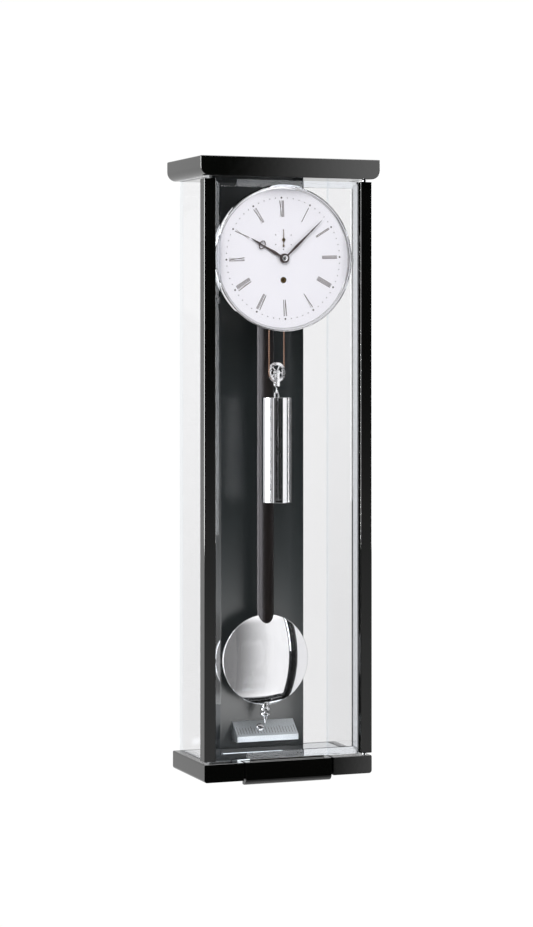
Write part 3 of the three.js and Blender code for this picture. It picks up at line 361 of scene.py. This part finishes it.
def add_piece(name, shape, material, body, replaces=(), sharp=40):
    """Turns a bmesh into a piece that rides on a body, unless body is None. Edges sharper than
    the angle stay crisp."""
    mesh = bpy.data.meshes.new(name)
    bmesh.ops.recalc_face_normals(shape, faces=shape.faces)
    shape.to_mesh(mesh)
    shape.free()
    mesh.shade_smooth()
    mesh.set_sharp_from_angle(angle=math.radians(sharp))
    piece = bpy.data.objects.new(name, mesh)
    bpy.context.scene.collection.objects.link(piece)
    mesh.materials.append(material)
    if body:
        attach(piece, body)
    if replaces:
        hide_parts(*replaces)
    flat = piece.modifiers.new("flat_faces", "WEIGHTED_NORMAL")
    flat.keep_sharp = True
    flat.weight = 100
    return piece


def in_pin_hole(point):
    """Whether a point belongs to a bore for the door's hinge pins."""
    axis = centre_of("hinge_pin_bottom")
    return math.hypot(point.x - axis.x, point.y - axis.y) < 3 * MM


def rounded_copy(node, width, segments=3, angle=25):
    """The node's own solid with welded corners and its sharp edges eased by a small radius."""
    shape = bmesh.new()
    shape.from_mesh(NODES[node].data)
    bmesh.ops.remove_doubles(shape, verts=shape.verts, dist=0.000005)
    bmesh.ops.dissolve_limit(
        shape, angle_limit=math.radians(0.5), verts=shape.verts, edges=shape.edges
    )
    if width:
        sharp = [e for e in shape.edges if e.is_manifold and e.calc_face_angle(0) > math.radians(angle)]
        sharp = [e for e in sharp if not all(in_pin_hole(v.co) for v in e.verts)]
        bmesh.ops.bevel(
            shape, geom=sharp, offset=width, segments=segments, profile=0.5,
            affect="EDGES", clamp_overlap=True,
        )
    return shape


def refine(node, material, body, width, segments=3, angle=25, sharp=32):
    shape = rounded_copy(node, width, segments, angle)
    return add_piece(f"{node}_finished", shape, material, body, (node,), sharp)


def ring_points(profile, segments):
    """Rings of points from a profile of [radius, height] turned about Z."""
    for radius, height in profile:
        yield [
            Vector((radius * math.cos(turn), radius * math.sin(turn), height))
            for turn in (2 * math.pi * i / segments for i in range(segments))
        ]


def lathe(profile, segments, place, closed=False):
    """A turned solid. A profile end on the axis becomes a single pole; a closed one is a ring."""
    shape = bmesh.new()
    rings = []
    for ring in ring_points(profile, segments):
        if ring[0].to_2d().length < 1e-7:
            rings.append([shape.verts.new(place @ ring[0])])
        else:
            rings.append([shape.verts.new(place @ point) for point in ring])
    pairs = list(zip(rings, rings[1:]))
    if closed:
        pairs.append((rings[-1], rings[0]))
    for low, high in pairs:
        for i in range(segments):
            j = (i + 1) % segments
            corners = [low[i % len(low)], low[j % len(low)], high[j % len(high)], high[i % len(high)]]
            unique = list(dict.fromkeys(corners))
            if len(unique) > 2:
                shape.faces.new(unique)
    return shape


def facing_front(x, z):
    """Takes a lathe's own axis to run backwards, its heights becoming y values."""
    return Matrix.Translation((x, 0, z)) @ Matrix.Rotation(math.radians(-90), 4, "X")


def standing(x, y):
    return Matrix.Translation((x, y, 0))


def plate(shape, outline, near, far):
    """Adds a plate drawn in x and z, filling a range of y, to a bmesh."""
    front = [shape.verts.new((x, near, z)) for x, z in outline]
    back = [shape.verts.new((x, far, z)) for x, z in outline]
    shape.faces.new(front)
    shape.faces.new(back[::-1])
    for i in range(len(outline)):
        j = (i + 1) % len(outline)
        shape.faces.new((front[j], front[i], back[i], back[j]))


# ---------- Case ----------


def build_case():
    """The lacquered blocks get eased edges, which is where they catch the light."""
    for node, body, width in (
        ("cornice", "case", 1.0 * MM),
        ("base", "case", 1.0 * MM),
        ("door_post_left", "door", 0.9 * MM),
        ("door_post_right", "door", 0.9 * MM),
        ("door_pull", "door", 1.0 * MM),
    ):
        refine(node, LACQUER, body, width)
    refine("back_panel", PANEL, "case", 0.4 * MM)
    refine("mirror_floor", MIRROR, "case", 0.3 * MM)
    for side in ("left", "right"):
        refine(f"side_glass_{side}", SIDE_GLASS, "case", 0.3 * MM, 2)
        refine(f"back_glass_{side}", FRONT_GLASS, "case", 0.3 * MM, 2)
        refine(f"wall_spacer_{side}", STEEL, "case", 0.3 * MM)
    refine("wall_hanger", STEEL, "case", 0.3 * MM, 2)
    for end in ("bottom", "top"):
        refine(f"hinge_pin_{end}", STEEL, "case", 0.2 * MM, 2)


def rectangle(left, bottom, right, top):
    return [(left, bottom), (right, bottom), (right, top), (left, top)]


BEVEL_WIDTH = 9 * MM
BEVEL_DEPTH = 2 * MM


def build_door_glass():
    """The flat middle of the pane, and the bevelled frame that runs all round it."""
    low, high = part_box("door_glass")
    inner_low = low + Vector((BEVEL_WIDTH, 0, BEVEL_WIDTH))
    inner_high = high - Vector((BEVEL_WIDTH, 0, BEVEL_WIDTH))
    middle = bmesh.new()
    front = rectangle(inner_low.x, inner_low.z, inner_high.x, inner_high.z)
    for y in (low.y, high.y):
        middle.faces.new([middle.verts.new((x, y, z)) for x, z in front])
    add_piece("door_glass_middle", middle, FRONT_GLASS, "door", ("door_glass",))

    frame_shape = bmesh.new()
    outer = rectangle(low.x, low.z, high.x, high.z)
    rings = [
        [(x, low.y, z) for x, z in front],
        [(x, low.y + BEVEL_DEPTH, z) for x, z in outer],
        [(x, high.y, z) for x, z in outer],
        [(x, high.y, z) for x, z in front],
    ]
    rings = [[frame_shape.verts.new(point) for point in ring] for ring in rings]
    for near, far in zip(rings, rings[1:]):
        for i in range(4):
            j = (i + 1) % 4
            frame_shape.faces.new((near[i], near[j], far[j], far[i]))
    add_piece("door_glass_bevel", frame_shape, BEVEL_GLASS, "door", (), 5)


# ---------- Dial ----------

DIAL = centre_of("bezel")
DIAL_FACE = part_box("dial")[0].y
PRINT_TURN = math.radians(-2)
INK_THICKNESS = 0.06 * MM
MINUTE_RING = 80.15 * MM
NUMERAL_FOOT = 54.8 * MM
NUMERAL_HEAD = 76.4 * MM
SECONDS_Z = centre_of("escape_wheel").z
WINDING_Z = centre_of("winding_drum").z


def on_dial(across, outwards, turn, centre_z):
    """A point of the print: across and outwards from the centre, turned clockwise from twelve."""
    x = across * math.cos(turn) + outwards * math.sin(turn)
    z = outwards * math.cos(turn) - across * math.sin(turn)
    return (DIAL.x + x, centre_z + z)


def print_shape(shape, points, turn, centre_z=None):
    height = DIAL.z if centre_z is None else centre_z
    outline = [on_dial(across, outwards, turn, height) for across, outwards in points]
    plate(shape, outline, DIAL_FACE - INK_THICKNESS, DIAL_FACE + 0.01 * MM)


def stroke(foot_x, head_x, width):
    """One slender stroke of a numeral, from its foot near the centre to its head."""
    half = width / 2
    return [
        (foot_x - half, NUMERAL_FOOT), (foot_x + half, NUMERAL_FOOT),
        (head_x + half, NUMERAL_HEAD), (head_x - half, NUMERAL_HEAD),
    ]


HEAVY = 0.95 * MM
LIGHT = 0.45 * MM
LETTER_WIDTH = {"I": 1.55 * MM, "V": 3.3 * MM, "X": 3.5 * MM}


def letter_strokes(letter, x):
    """Strokes of one letter centred on x. The heavy stroke of V and X leans like a pen's."""
    spread = 1.15 * MM
    if letter == "I":
        return [stroke(x, x, HEAVY)]
    if letter == "V":
        return [stroke(x + 0.15 * MM, x - spread, HEAVY), stroke(x + 0.15 * MM, x + spread, LIGHT)]
    return [stroke(x + spread, x - spread, HEAVY), stroke(x - spread, x + spread, LIGHT)]


NUMERALS = ["XII", "I", "II", "III", "IIII", "V", "VI", "VII", "VIII", "IX", "X", "XI"]


def build_numerals():
    shape = bmesh.new()
    for hour, word in enumerate(NUMERALS):
        turn = PRINT_TURN + hour * math.pi / 6
        x = -sum(LETTER_WIDTH[letter] for letter in word) / 2
        for letter in word:
            x += LETTER_WIDTH[letter] / 2
            for outline in letter_strokes(letter, x):
                print_shape(shape, outline, turn)
            x += LETTER_WIDTH[letter] / 2
    add_piece("dial_numerals", shape, INK, "case")


def dot(radius, outwards, steps=12):
    return [
        (radius * math.cos(a), outwards + radius * math.sin(a))
        for a in (2 * math.pi * i / steps for i in range(steps))
    ]


def build_minute_dots():
    hours = bmesh.new()
    minutes = bmesh.new()
    for minute in range(60):
        turn = PRINT_TURN + minute * math.pi / 30
        if minute % 5 == 0:
            print_shape(hours, dot(1.25 * MM, MINUTE_RING), turn)
        else:
            print_shape(minutes, dot(0.7 * MM, MINUTE_RING), turn)
    add_piece("dial_hour_dots", hours, DOT_INK, "case")
    add_piece("dial_minute_dots", minutes, FAINT_INK, "case")


def build_seconds_marks():
    """A ring of fine dots for the seconds, with diamonds at every ten."""
    shape = bmesh.new()
    ring = 12.7 * MM
    for second in range(0, 60, 5):
        turn = second * math.pi / 30
        if second % 10 == 0:
            size = 0.75 * MM
            diamond = [(0, ring - 1.6 * size), (size, ring), (0, ring + 1.6 * size), (-size, ring)]
            print_shape(shape, diamond, turn, SECONDS_Z)
        else:
            print_shape(shape, dot(0.3 * MM, ring, 8), turn, SECONDS_Z)
    add_piece("seconds_marks", shape, FAINT_INK, "case")


def annulus(inner, outer, near, far, segments, x, z):
    profile = [(inner, near), (outer, near), (outer, far), (inner, far)]
    return lathe(profile, segments, facing_front(x, z), closed=True)


def build_dial_plate():
    """The enamelled disc keeps its solid; a polished eyelet lines the winding hole."""
    refine("dial", DIAL_WHITE, "case", 0)
    eyelet = annulus(3.7 * MM, 4.15 * MM, DIAL_FACE - 0.15 * MM, DIAL_FACE + 1.8 * MM, 48,
                     DIAL.x, WINDING_Z)
    add_piece("winding_eyelet", eyelet, CHROME, "case")


def build_bezel():
    """A thin chromed hoop with a round bead at its edge and a bright inner slope."""
    low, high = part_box("bezel")
    radius = (high.x - low.x) / 2
    front = low.y
    bead = 1.25 * MM
    bead_centre = radius - bead
    profile = [(bead_centre + bead * math.cos(a), front + bead - bead * math.sin(a))
               for a in (math.pi * i / 10 for i in range(11))]
    profile += [
        (radius - 2.9 * MM, front + 1.9 * MM),
        (radius - 4.2 * MM, front + 2.4 * MM),
        (radius - 5.0 * MM, front + 3.5 * MM),
        (radius - 4.0 * MM, front + 3.7 * MM),
        (radius - 4.0 * MM, high.y),
        (radius, high.y),
    ]
    shape = lathe(profile, 144, facing_front(DIAL.x, DIAL.z), closed=True)
    add_piece("bezel_hoop", shape, CHROME, "case", ("bezel",), 35)


def build_hands():
    for node, body, material, slot in (
        ("hour_hand", "hour", HAND_BROWN, "hand_brown"),
        ("minute_hand", "centre", HAND_BROWN, "hand_brown"),
        ("seconds_hand", "escape", HAND_GOLD, "hand_gold"),
    ):
        refine(node, material, body, 0.08 * MM, 2, 50)
    low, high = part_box("hand_nut")
    radius = (high.x - low.x) / 2
    dome = [(0, low.y)]
    dome += [(radius * math.sin(a), low.y + 1.5 * MM * (1 - math.cos(a)))
             for a in (math.pi / 2 * i / 8 for i in range(1, 9))]
    dome += [(radius, high.y), (0, high.y)]
    shape = lathe(dome, 48, facing_front(DIAL.x, DIAL.z))
    add_piece("hand_cap", shape, SATIN_CHROME, "centre", ("hand_nut",))


# ---------- Pendulum ----------


def build_bob():
    """The polished lens: two shallow domes that meet at a rim with softened corners."""
    low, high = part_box("pendulum_bob")
    bob_z = (low.z + high.z) / 2
    radius = (high.x - low.x) / 2
    middle = (low.y + high.y) / 2
    half = (high.y - low.y) / 2
    rim = 2.5 * MM
    dome_share = 1 - 0.012
    stations = 40
    front = [
        (radius * dome_share * i / stations, middle - rim - (half - rim) * (1 - (i / stations) ** 2))
        for i in range(stations + 1)
    ]
    edge = [
        (radius * 0.996, middle - rim + 0.2 * MM),
        (radius, middle - rim + 0.9 * MM),
        (radius, middle + rim - 0.9 * MM),
        (radius * 0.996, middle + rim - 0.2 * MM),
    ]
    back = [(r, 2 * middle - y) for r, y in reversed(front)]
    shape = lathe(front + edge + back, 160, facing_front(0, bob_z))
    add_piece("bob_lens", shape, CHROME, "pendulum", ("pendulum_bob",), 60)


def oval_ring(shape, low, high, z, ease):
    """A ring of points round an oval that fills a box in x and y, less the ease at its edge."""
    steps = 48
    return [
        shape.verts.new((
            ((high.x - low.x) / 2 - ease) * math.cos(a),
            (low.y + high.y) / 2 + ((high.y - low.y) / 2 - ease) * math.sin(a),
            z,
        ))
        for a in (2 * math.pi * i / steps for i in range(steps))
    ]


def join_rings(shape, rings):
    """Closes the walls between neighbouring rings."""
    for lower, upper in zip(rings, rings[1:]):
        for i in range(len(lower)):
            j = (i + 1) % len(lower)
            shape.faces.new((lower[i], lower[j], upper[j], upper[i]))


def build_rod():
    """The flat oval rod, with an eased upper end."""
    low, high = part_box("pendulum_rod")
    ease = 0.6 * MM
    shape = bmesh.new()
    rings = [
        oval_ring(shape, low, high, z, edge)
        for z, edge in ((low.z, 0), (high.z - ease, 0), (high.z, ease))
    ]
    join_rings(shape, rings)
    shape.faces.new(rings[0][::-1])
    shape.faces.new(rings[-1])
    add_piece("oval_rod", shape, ROD_WOOD, "pendulum", ("pendulum_rod",))


def build_pendulum_fittings():
    for node in ("rating_nut", "lock_nut", "rating_screw"):
        refine(node, SATIN_CHROME, "pendulum", 0.25 * MM, 2, 30, 50)
    refine("suspension_spring", STEEL, "pendulum", 0.15 * MM, 2)
    refine("suspension_cock", BRASS, "case", 0.3 * MM, 2)


# ---------- Weight, pulley and cable ----------


def build_weight():
    low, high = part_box("weight")
    radius = (high.x - low.x) / 2
    y = (low.y + high.y) / 2
    ease = 0.7 * MM
    profile = [(0, low.z), (radius - 3 * MM, low.z)]
    profile += [(radius - ease + ease * math.sin(a), low.z + ease - ease * math.cos(a))
                for a in (math.pi / 2 * i / 5 for i in range(6))]
    profile += [(radius, low.z + 4.6 * MM), (radius - 0.12 * MM, low.z + 4.75 * MM),
                (radius, low.z + 4.9 * MM)]
    profile += [(radius - ease + ease * math.cos(a), high.z - ease + ease * math.sin(a))
                for a in (math.pi / 2 * i / 5 for i in range(6))]
    profile += [(radius - 3 * MM, high.z), (0, high.z)]
    shape = lathe(profile, 128, standing(0, y))
    add_piece("weight_shell", shape, CHROME, "weight", ("weight",), 35)
    for node in ("weight_eye", "weight_hook", "pulley_stirrup"):
        refine(node, SATIN_CHROME, "weight", 0, 1, 30, 60)
    refine("pulley", SATIN_CHROME, "pulley", 0.12 * MM, 2, 35, 50)


CABLE_RADIUS = 0.9 * MM


def tube(points, radius, sides):
    """A round wire through points, closed at both ends."""
    shape = bmesh.new()
    rings = []
    for i, point in enumerate(points):
        ahead = points[min(i + 1, len(points) - 1)] - points[max(i - 1, 0)]
        side = ahead.cross(Vector((0, 1, 0))).normalized()
        lift = side.cross(ahead).normalized()
        rings.append([
            shape.verts.new(point + radius * (math.cos(a) * side + math.sin(a) * lift))
            for a in (2 * math.pi * k / sides for k in range(sides))
        ])
    join_rings(shape, rings)
    shape.faces.new(rings[0])
    shape.faces.new(rings[-1][::-1])
    return shape


def build_cable_on_drum():
    """The turns still wound on the drum, which end where the hanging stretch begins."""
    low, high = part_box("cable_drum_strand")
    radius = (low.x + high.x) / 2
    start_y = (low.y + high.y) / 2
    pitch = 1.9 * MM
    turns = 4
    steps = 40
    points = []
    for i in range(turns * steps + 1):
        turn = 2 * math.pi * i / steps
        y = start_y - pitch * turn / (2 * math.pi)
        points.append(Vector((radius * math.cos(turn), y, WINDING_Z + radius * math.sin(turn))))
    add_piece("cable_turns", tube(points, CABLE_RADIUS, 10), CABLE_WIRE, "drum")


def build_strands():
    """The two hanging stretches, as straight wires held in the clock's frame on no body."""
    for node in ("cable_fixed_strand", "cable_drum_strand"):
        low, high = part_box(node)
        x = (low.x + high.x) / 2
        y = (low.y + high.y) / 2
        stations = 24
        points = [
            Vector((x, y, high.z + (low.z - high.z) * i / stations)) for i in range(stations + 1)
        ]
        wire = tube(points, CABLE_RADIUS, 16)
        strand = add_piece(f"{node}_taut", wire, CABLE_WIRE, None, (node,))
        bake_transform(strand)


def finish_pulley_loop():
    """The stretch under the pulley keeps its solid and only gets its finish."""
    loop = NODES["cable_pulley_loop"].data
    loop.materials.clear()
    loop.materials.append(CABLE_WIRE)


# ---------- Beat scale ----------


SCALE_MARKS = 21
MARK_SPACING = 4.1 * MM
MARK_WIDTH = 0.56 * MM
MARK_FOOT = 0.16
SHORT_MARK = 0.38
LONG_MARK = 0.46


def build_scale_marks():
    """Ruled lines along the scale's slope. Foot and length are shares of the slope."""
    low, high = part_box("beat_scale")
    lip_height = 7.3 * MM
    back_ledge = 0.8 * MM
    start = Vector((0, low.y, low.z + lip_height))
    slope = Vector((0, high.y - back_ledge, high.z)) - start
    along = slope.normalized()
    above = Vector((0, -along.z, along.y)) * 0.05 * MM
    middle = (low.x + high.x) / 2
    shape = bmesh.new()
    for i in range(SCALE_MARKS):
        x = middle + (i - (SCALE_MARKS - 1) / 2) * MARK_SPACING
        head = MARK_FOOT + (LONG_MARK if i % 5 == 0 else SHORT_MARK)
        corners = []
        for share, side in ((MARK_FOOT, -1), (MARK_FOOT, 1), (head, 1), (head, -1)):
            across = Vector((x + side * MARK_WIDTH / 2, 0, 0))
            corners.append(shape.verts.new(start + slope * share + above + across))
        shape.faces.new(corners)
    piece = add_piece("scale_marks", shape, INK, "case")
    thickness = piece.modifiers.new("ink", "SOLIDIFY")
    thickness.thickness = 0.04 * MM


def build_beat_scale():
    """The silvered wedge keeps its solid."""
    refine("beat_scale", SILVERED, "case", 0.35 * MM, 2)
    refine("beat_scale_screw", CHROME, "case", 0.3 * MM, 2, 30, 40)
    build_scale_marks()


# ---------- Movement ----------


def build_movement():
    brass_parts = {
        "movement_front_plate": "case", "movement_back_plate": "case",
        "centre_wheel": "centre", "third_wheel": "third", "escape_wheel": "escape",
        "intermediate_wheel": "intermediate", "great_wheel": "great", "winding_drum": "drum",
        "minute_wheel": "minute_work", "hour_wheel": "hour",
    }
    for node, body in brass_parts.items():
        refine(node, BRASS, body, 0)
    steel_parts = {
        "movement_pillar_lower_left": "case", "movement_pillar_upper_left": "case",
        "movement_pillar_lower_right": "case", "movement_pillar_upper_right": "case",
        "cable_post": "case", "pallet_anchor": "anchor", "crutch": "anchor", "click": "click",
        "cannon_pinion": "centre",
    }
    for node, body in steel_parts.items():
        refine(node, STEEL, body, 0)


# ---------- Studio ----------


def build_floor():
    """A pale floor some way below the clock, which hangs at head height."""
    shape = bmesh.new()
    bmesh.ops.create_circle(shape, cap_ends=True, radius=1.3, segments=96)
    mesh = bpy.data.meshes.new("floor")
    shape.to_mesh(mesh)
    shape.free()
    floor = bpy.data.objects.new("floor", mesh)
    floor.location = (0, 0.45, -1.3)
    bpy.context.scene.collection.objects.link(floor)
    material, tree, shader = principled("pale_floor", Roughness=0.6)
    tree.link(tree.mix(tree.noise(tree.place(), 3, 2), colour(0.86, 0.86, 0.86), colour(0.9, 0.9, 0.9)),
              shader.inputs["Base Color"])
    mesh.materials.append(material)


# Softboxes seen in reflections. An azimuth runs from 0 straight in front of the dial to positive
# on the right, an elevation from the horizon up: both in degrees, then the soft rims, then the glow.
SOFTBOXES = {
    "overhead": ((-150, 150), (30, 90), (4, 8), 0.70),
    "low_glow": ((-80, 150), (-90, -40), (10, 10), 0.45),
    "right_grey": ((62, 150), (-60, 30), (4, 8), 0.16),
    "left_strip": ((-48, -43), (-30, 30), (2, 6), 1.00),
    "left_grey": ((-84, -50), (-60, 30), (4, 8), 0.28),
    "left_wall": ((-180, -90), (-60, 30), (5, 8), 0.95),
    "left_key": ((-112, -90), (-25, 45), (4, 8), 6.0),
    "back_wall": ((156, 180), (-60, 30), (5, 8), 0.92),
}
BACKDROP = 1.02
DARK_STUDIO = 0.004


def build_world():
    """The camera sees a white backdrop; reflections see softboxes in an otherwise dark studio."""
    world = bpy.data.worlds.new("studio")
    bpy.context.scene.world = world
    world.use_nodes = True
    tree = Tree(world.node_tree)
    output = tree.node("ShaderNodeOutputWorld")
    background = tree.node("ShaderNodeBackground")
    tree.link(background.outputs[0], output.inputs[0])
    x, y, z = tree.axes(tree.node("ShaderNodeTexCoord").outputs["Generated"])
    degrees = 180 / math.pi
    azimuth = tree.math("MULTIPLY", tree.math("ARCTAN2", x, tree.math("MULTIPLY", y, -1)), degrees)
    elevation = tree.math("MULTIPLY", tree.math("ARCSINE", z), degrees)
    glow = DARK_STUDIO
    for (left, right), (low, high), (soft_side, soft_height), brightness in SOFTBOXES.values():
        share = tree.ramp(azimuth, left - soft_side, left)
        share = tree.math("MULTIPLY", share, tree.ramp(azimuth, right + soft_side, right))
        share = tree.math("MULTIPLY", share, tree.ramp(elevation, low - soft_height, low))
        share = tree.math("MULTIPLY", share, tree.ramp(elevation, high + soft_height, high))
        glow = tree.math("ADD", glow, tree.math("MULTIPLY", share, brightness))
    strength = tree.node("ShaderNodeMix", data_type="FLOAT")
    tree.link(tree.node("ShaderNodeLightPath").outputs["Is Camera Ray"], strength.inputs[0])
    tree.link(glow, strength.inputs[2])
    strength.inputs[3].default_value = BACKDROP
    tree.link(strength.outputs[0], background.inputs["Strength"])
    background.inputs["Color"].default_value = colour(1, 1, 1)


def area_light(name, place, target, size, power, seen_in_gloss):
    data = bpy.data.lights.new(name, "AREA")
    data.shape = "RECTANGLE"
    data.size = size[0]
    data.size_y = size[1]
    data.energy = power
    light = bpy.data.objects.new(name, data)
    light.location = place
    aim = Vector(target) - Vector(place)
    light.rotation_euler = aim.to_track_quat("-Z", "Y").to_euler()
    light.visible_glossy = seen_in_gloss
    light.visible_camera = False
    bpy.context.scene.collection.objects.link(light)
    return light


CLOCK_CENTRE = Vector((0, 0, 0.40))


def reflection_card(name, azimuths, elevations, glows, upright, pieces, fade=(0.0, 1.0), reach=2.6):
    """A card that only the named pieces reflect. It fades between two glows, sideways or upwards,
    over the stretch of its width or height that fade gives."""
    middle = math.radians(sum(azimuths) / 2)
    lift = math.radians(sum(elevations) / 2)
    direction = Vector((
        math.sin(middle) * math.cos(lift), -math.cos(middle) * math.cos(lift), math.sin(lift)
    ))
    width = 2 * reach * math.tan(math.radians(azimuths[1] - azimuths[0]) / 2)
    height = 2 * reach * math.tan(math.radians(elevations[1] - elevations[0]) / 2)
    target = centre_of(pieces[0]) if pieces[0] in NODES else CLOCK_CENTRE
    place = target + reach * direction
    card = area_light(name, place, target, (width, height), 4 * width * height, True)
    card.data.use_nodes = True
    tree = Tree(card.data.node_tree)
    output = tree.node("ShaderNodeOutputLight")
    emission = tree.node("ShaderNodeEmission")
    position = tree.axes(tree.node("ShaderNodeNewGeometry").outputs["Parametric"])
    along = position[1] if upright else position[0]
    tree.link(tree.ramp(along, *fade, *glows), emission.inputs["Strength"])
    tree.link(emission.outputs[0], output.inputs[0])
    reflecting = bpy.data.collections.new(f"{name}_sees")
    for piece in pieces:
        shown = bpy.data.objects.get(f"{piece}_finished") or bpy.data.objects[piece]
        reflecting.objects.link(shown)
    card.light_linking.receiver_collection = reflecting
    return card


def build_lights():
    area_light("key", (-1.1, -2.4, 1.9), (0, -0.03, 0.62), (1.4, 1.4), 53, False)
    area_light("fill", (1.4, -2.4, 1.0), (0, -0.03, 0.5), (1.2, 1.8), 31, False)
    reflection_card("cornice_card", (17.3, 26.3), (-4, 12), (0.0, 2.1), False, ["cornice"])
    reflection_card("base_card", (21.3, 27), (-16, -4), (0.0, 1.3), False, ["base"])
    reflection_card("post_card", (5, 37), (-20, 6), (0.65, 0.0), True,
                    ["door_post_left", "door_post_right"])
    reflection_card("bevel_card", (-14, 4), (-14, 8), (1.7, 0.0), True, ["door_glass_bevel"])
    reflection_card("bob_card", (-30, 70), (-52, 38), (0.16, 0.97), False, ["bob_lens"],
                    (0.24, 0.61))
    panel_card = reflection_card("panel_card", (0, 42), (-58, -16), (4.6, 0.0), True,
                                 ["back_panel"], (0.45, 1.0), 0.6)
    panel_card.light_linking.blocker_collection = panel_card.light_linking.receiver_collection
    reflection_card("scale_card", (-20, 50), (-24, 60), (1.6, 5.0), True, ["beat_scale"])
    reflection_card("rod_card", (-95, -12), (-30, 30), (3.5, 3.0), False, ["oval_rod"])
    lacquered = ["cornice", "base", "door_post_left", "door_post_right", "door_pull"]
    reflection_card("left_edge_card", (-125, -60), (-15, 20), (25.0, 25.0), False, lacquered)
    reflection_card("right_edge_card", (70, 120), (-15, 20), (15.0, 15.0), False, lacquered)
    reflection_card("top_edge_card", (0, 40), (25, 65), (12.0, 12.0), False, lacquered)
    reflection_card("right_card", (28, 64), (-60, 30), (1.0, 1.0), False,
                    ["weight_shell", "bezel_hoop", "hand_cap", "pulley", "pulley_stirrup",
                     "weight_hook", "weight_eye", "rating_nut", "lock_nut", "rating_screw",
                     "beat_scale_screw", "winding_eyelet"])


build_camera()
build_floor()
build_world()
build_case()
build_door_glass()
build_dial_plate()
build_numerals()
build_minute_dots()
build_seconds_marks()
build_bezel()
build_hands()
build_bob()
build_rod()
build_pendulum_fittings()
build_weight()
build_cable_on_drum()
build_strands()
finish_pulley_loop()
build_beat_scale()
build_movement()
build_lights()

bpy.context.scene.view_settings.view_transform = "Standard"
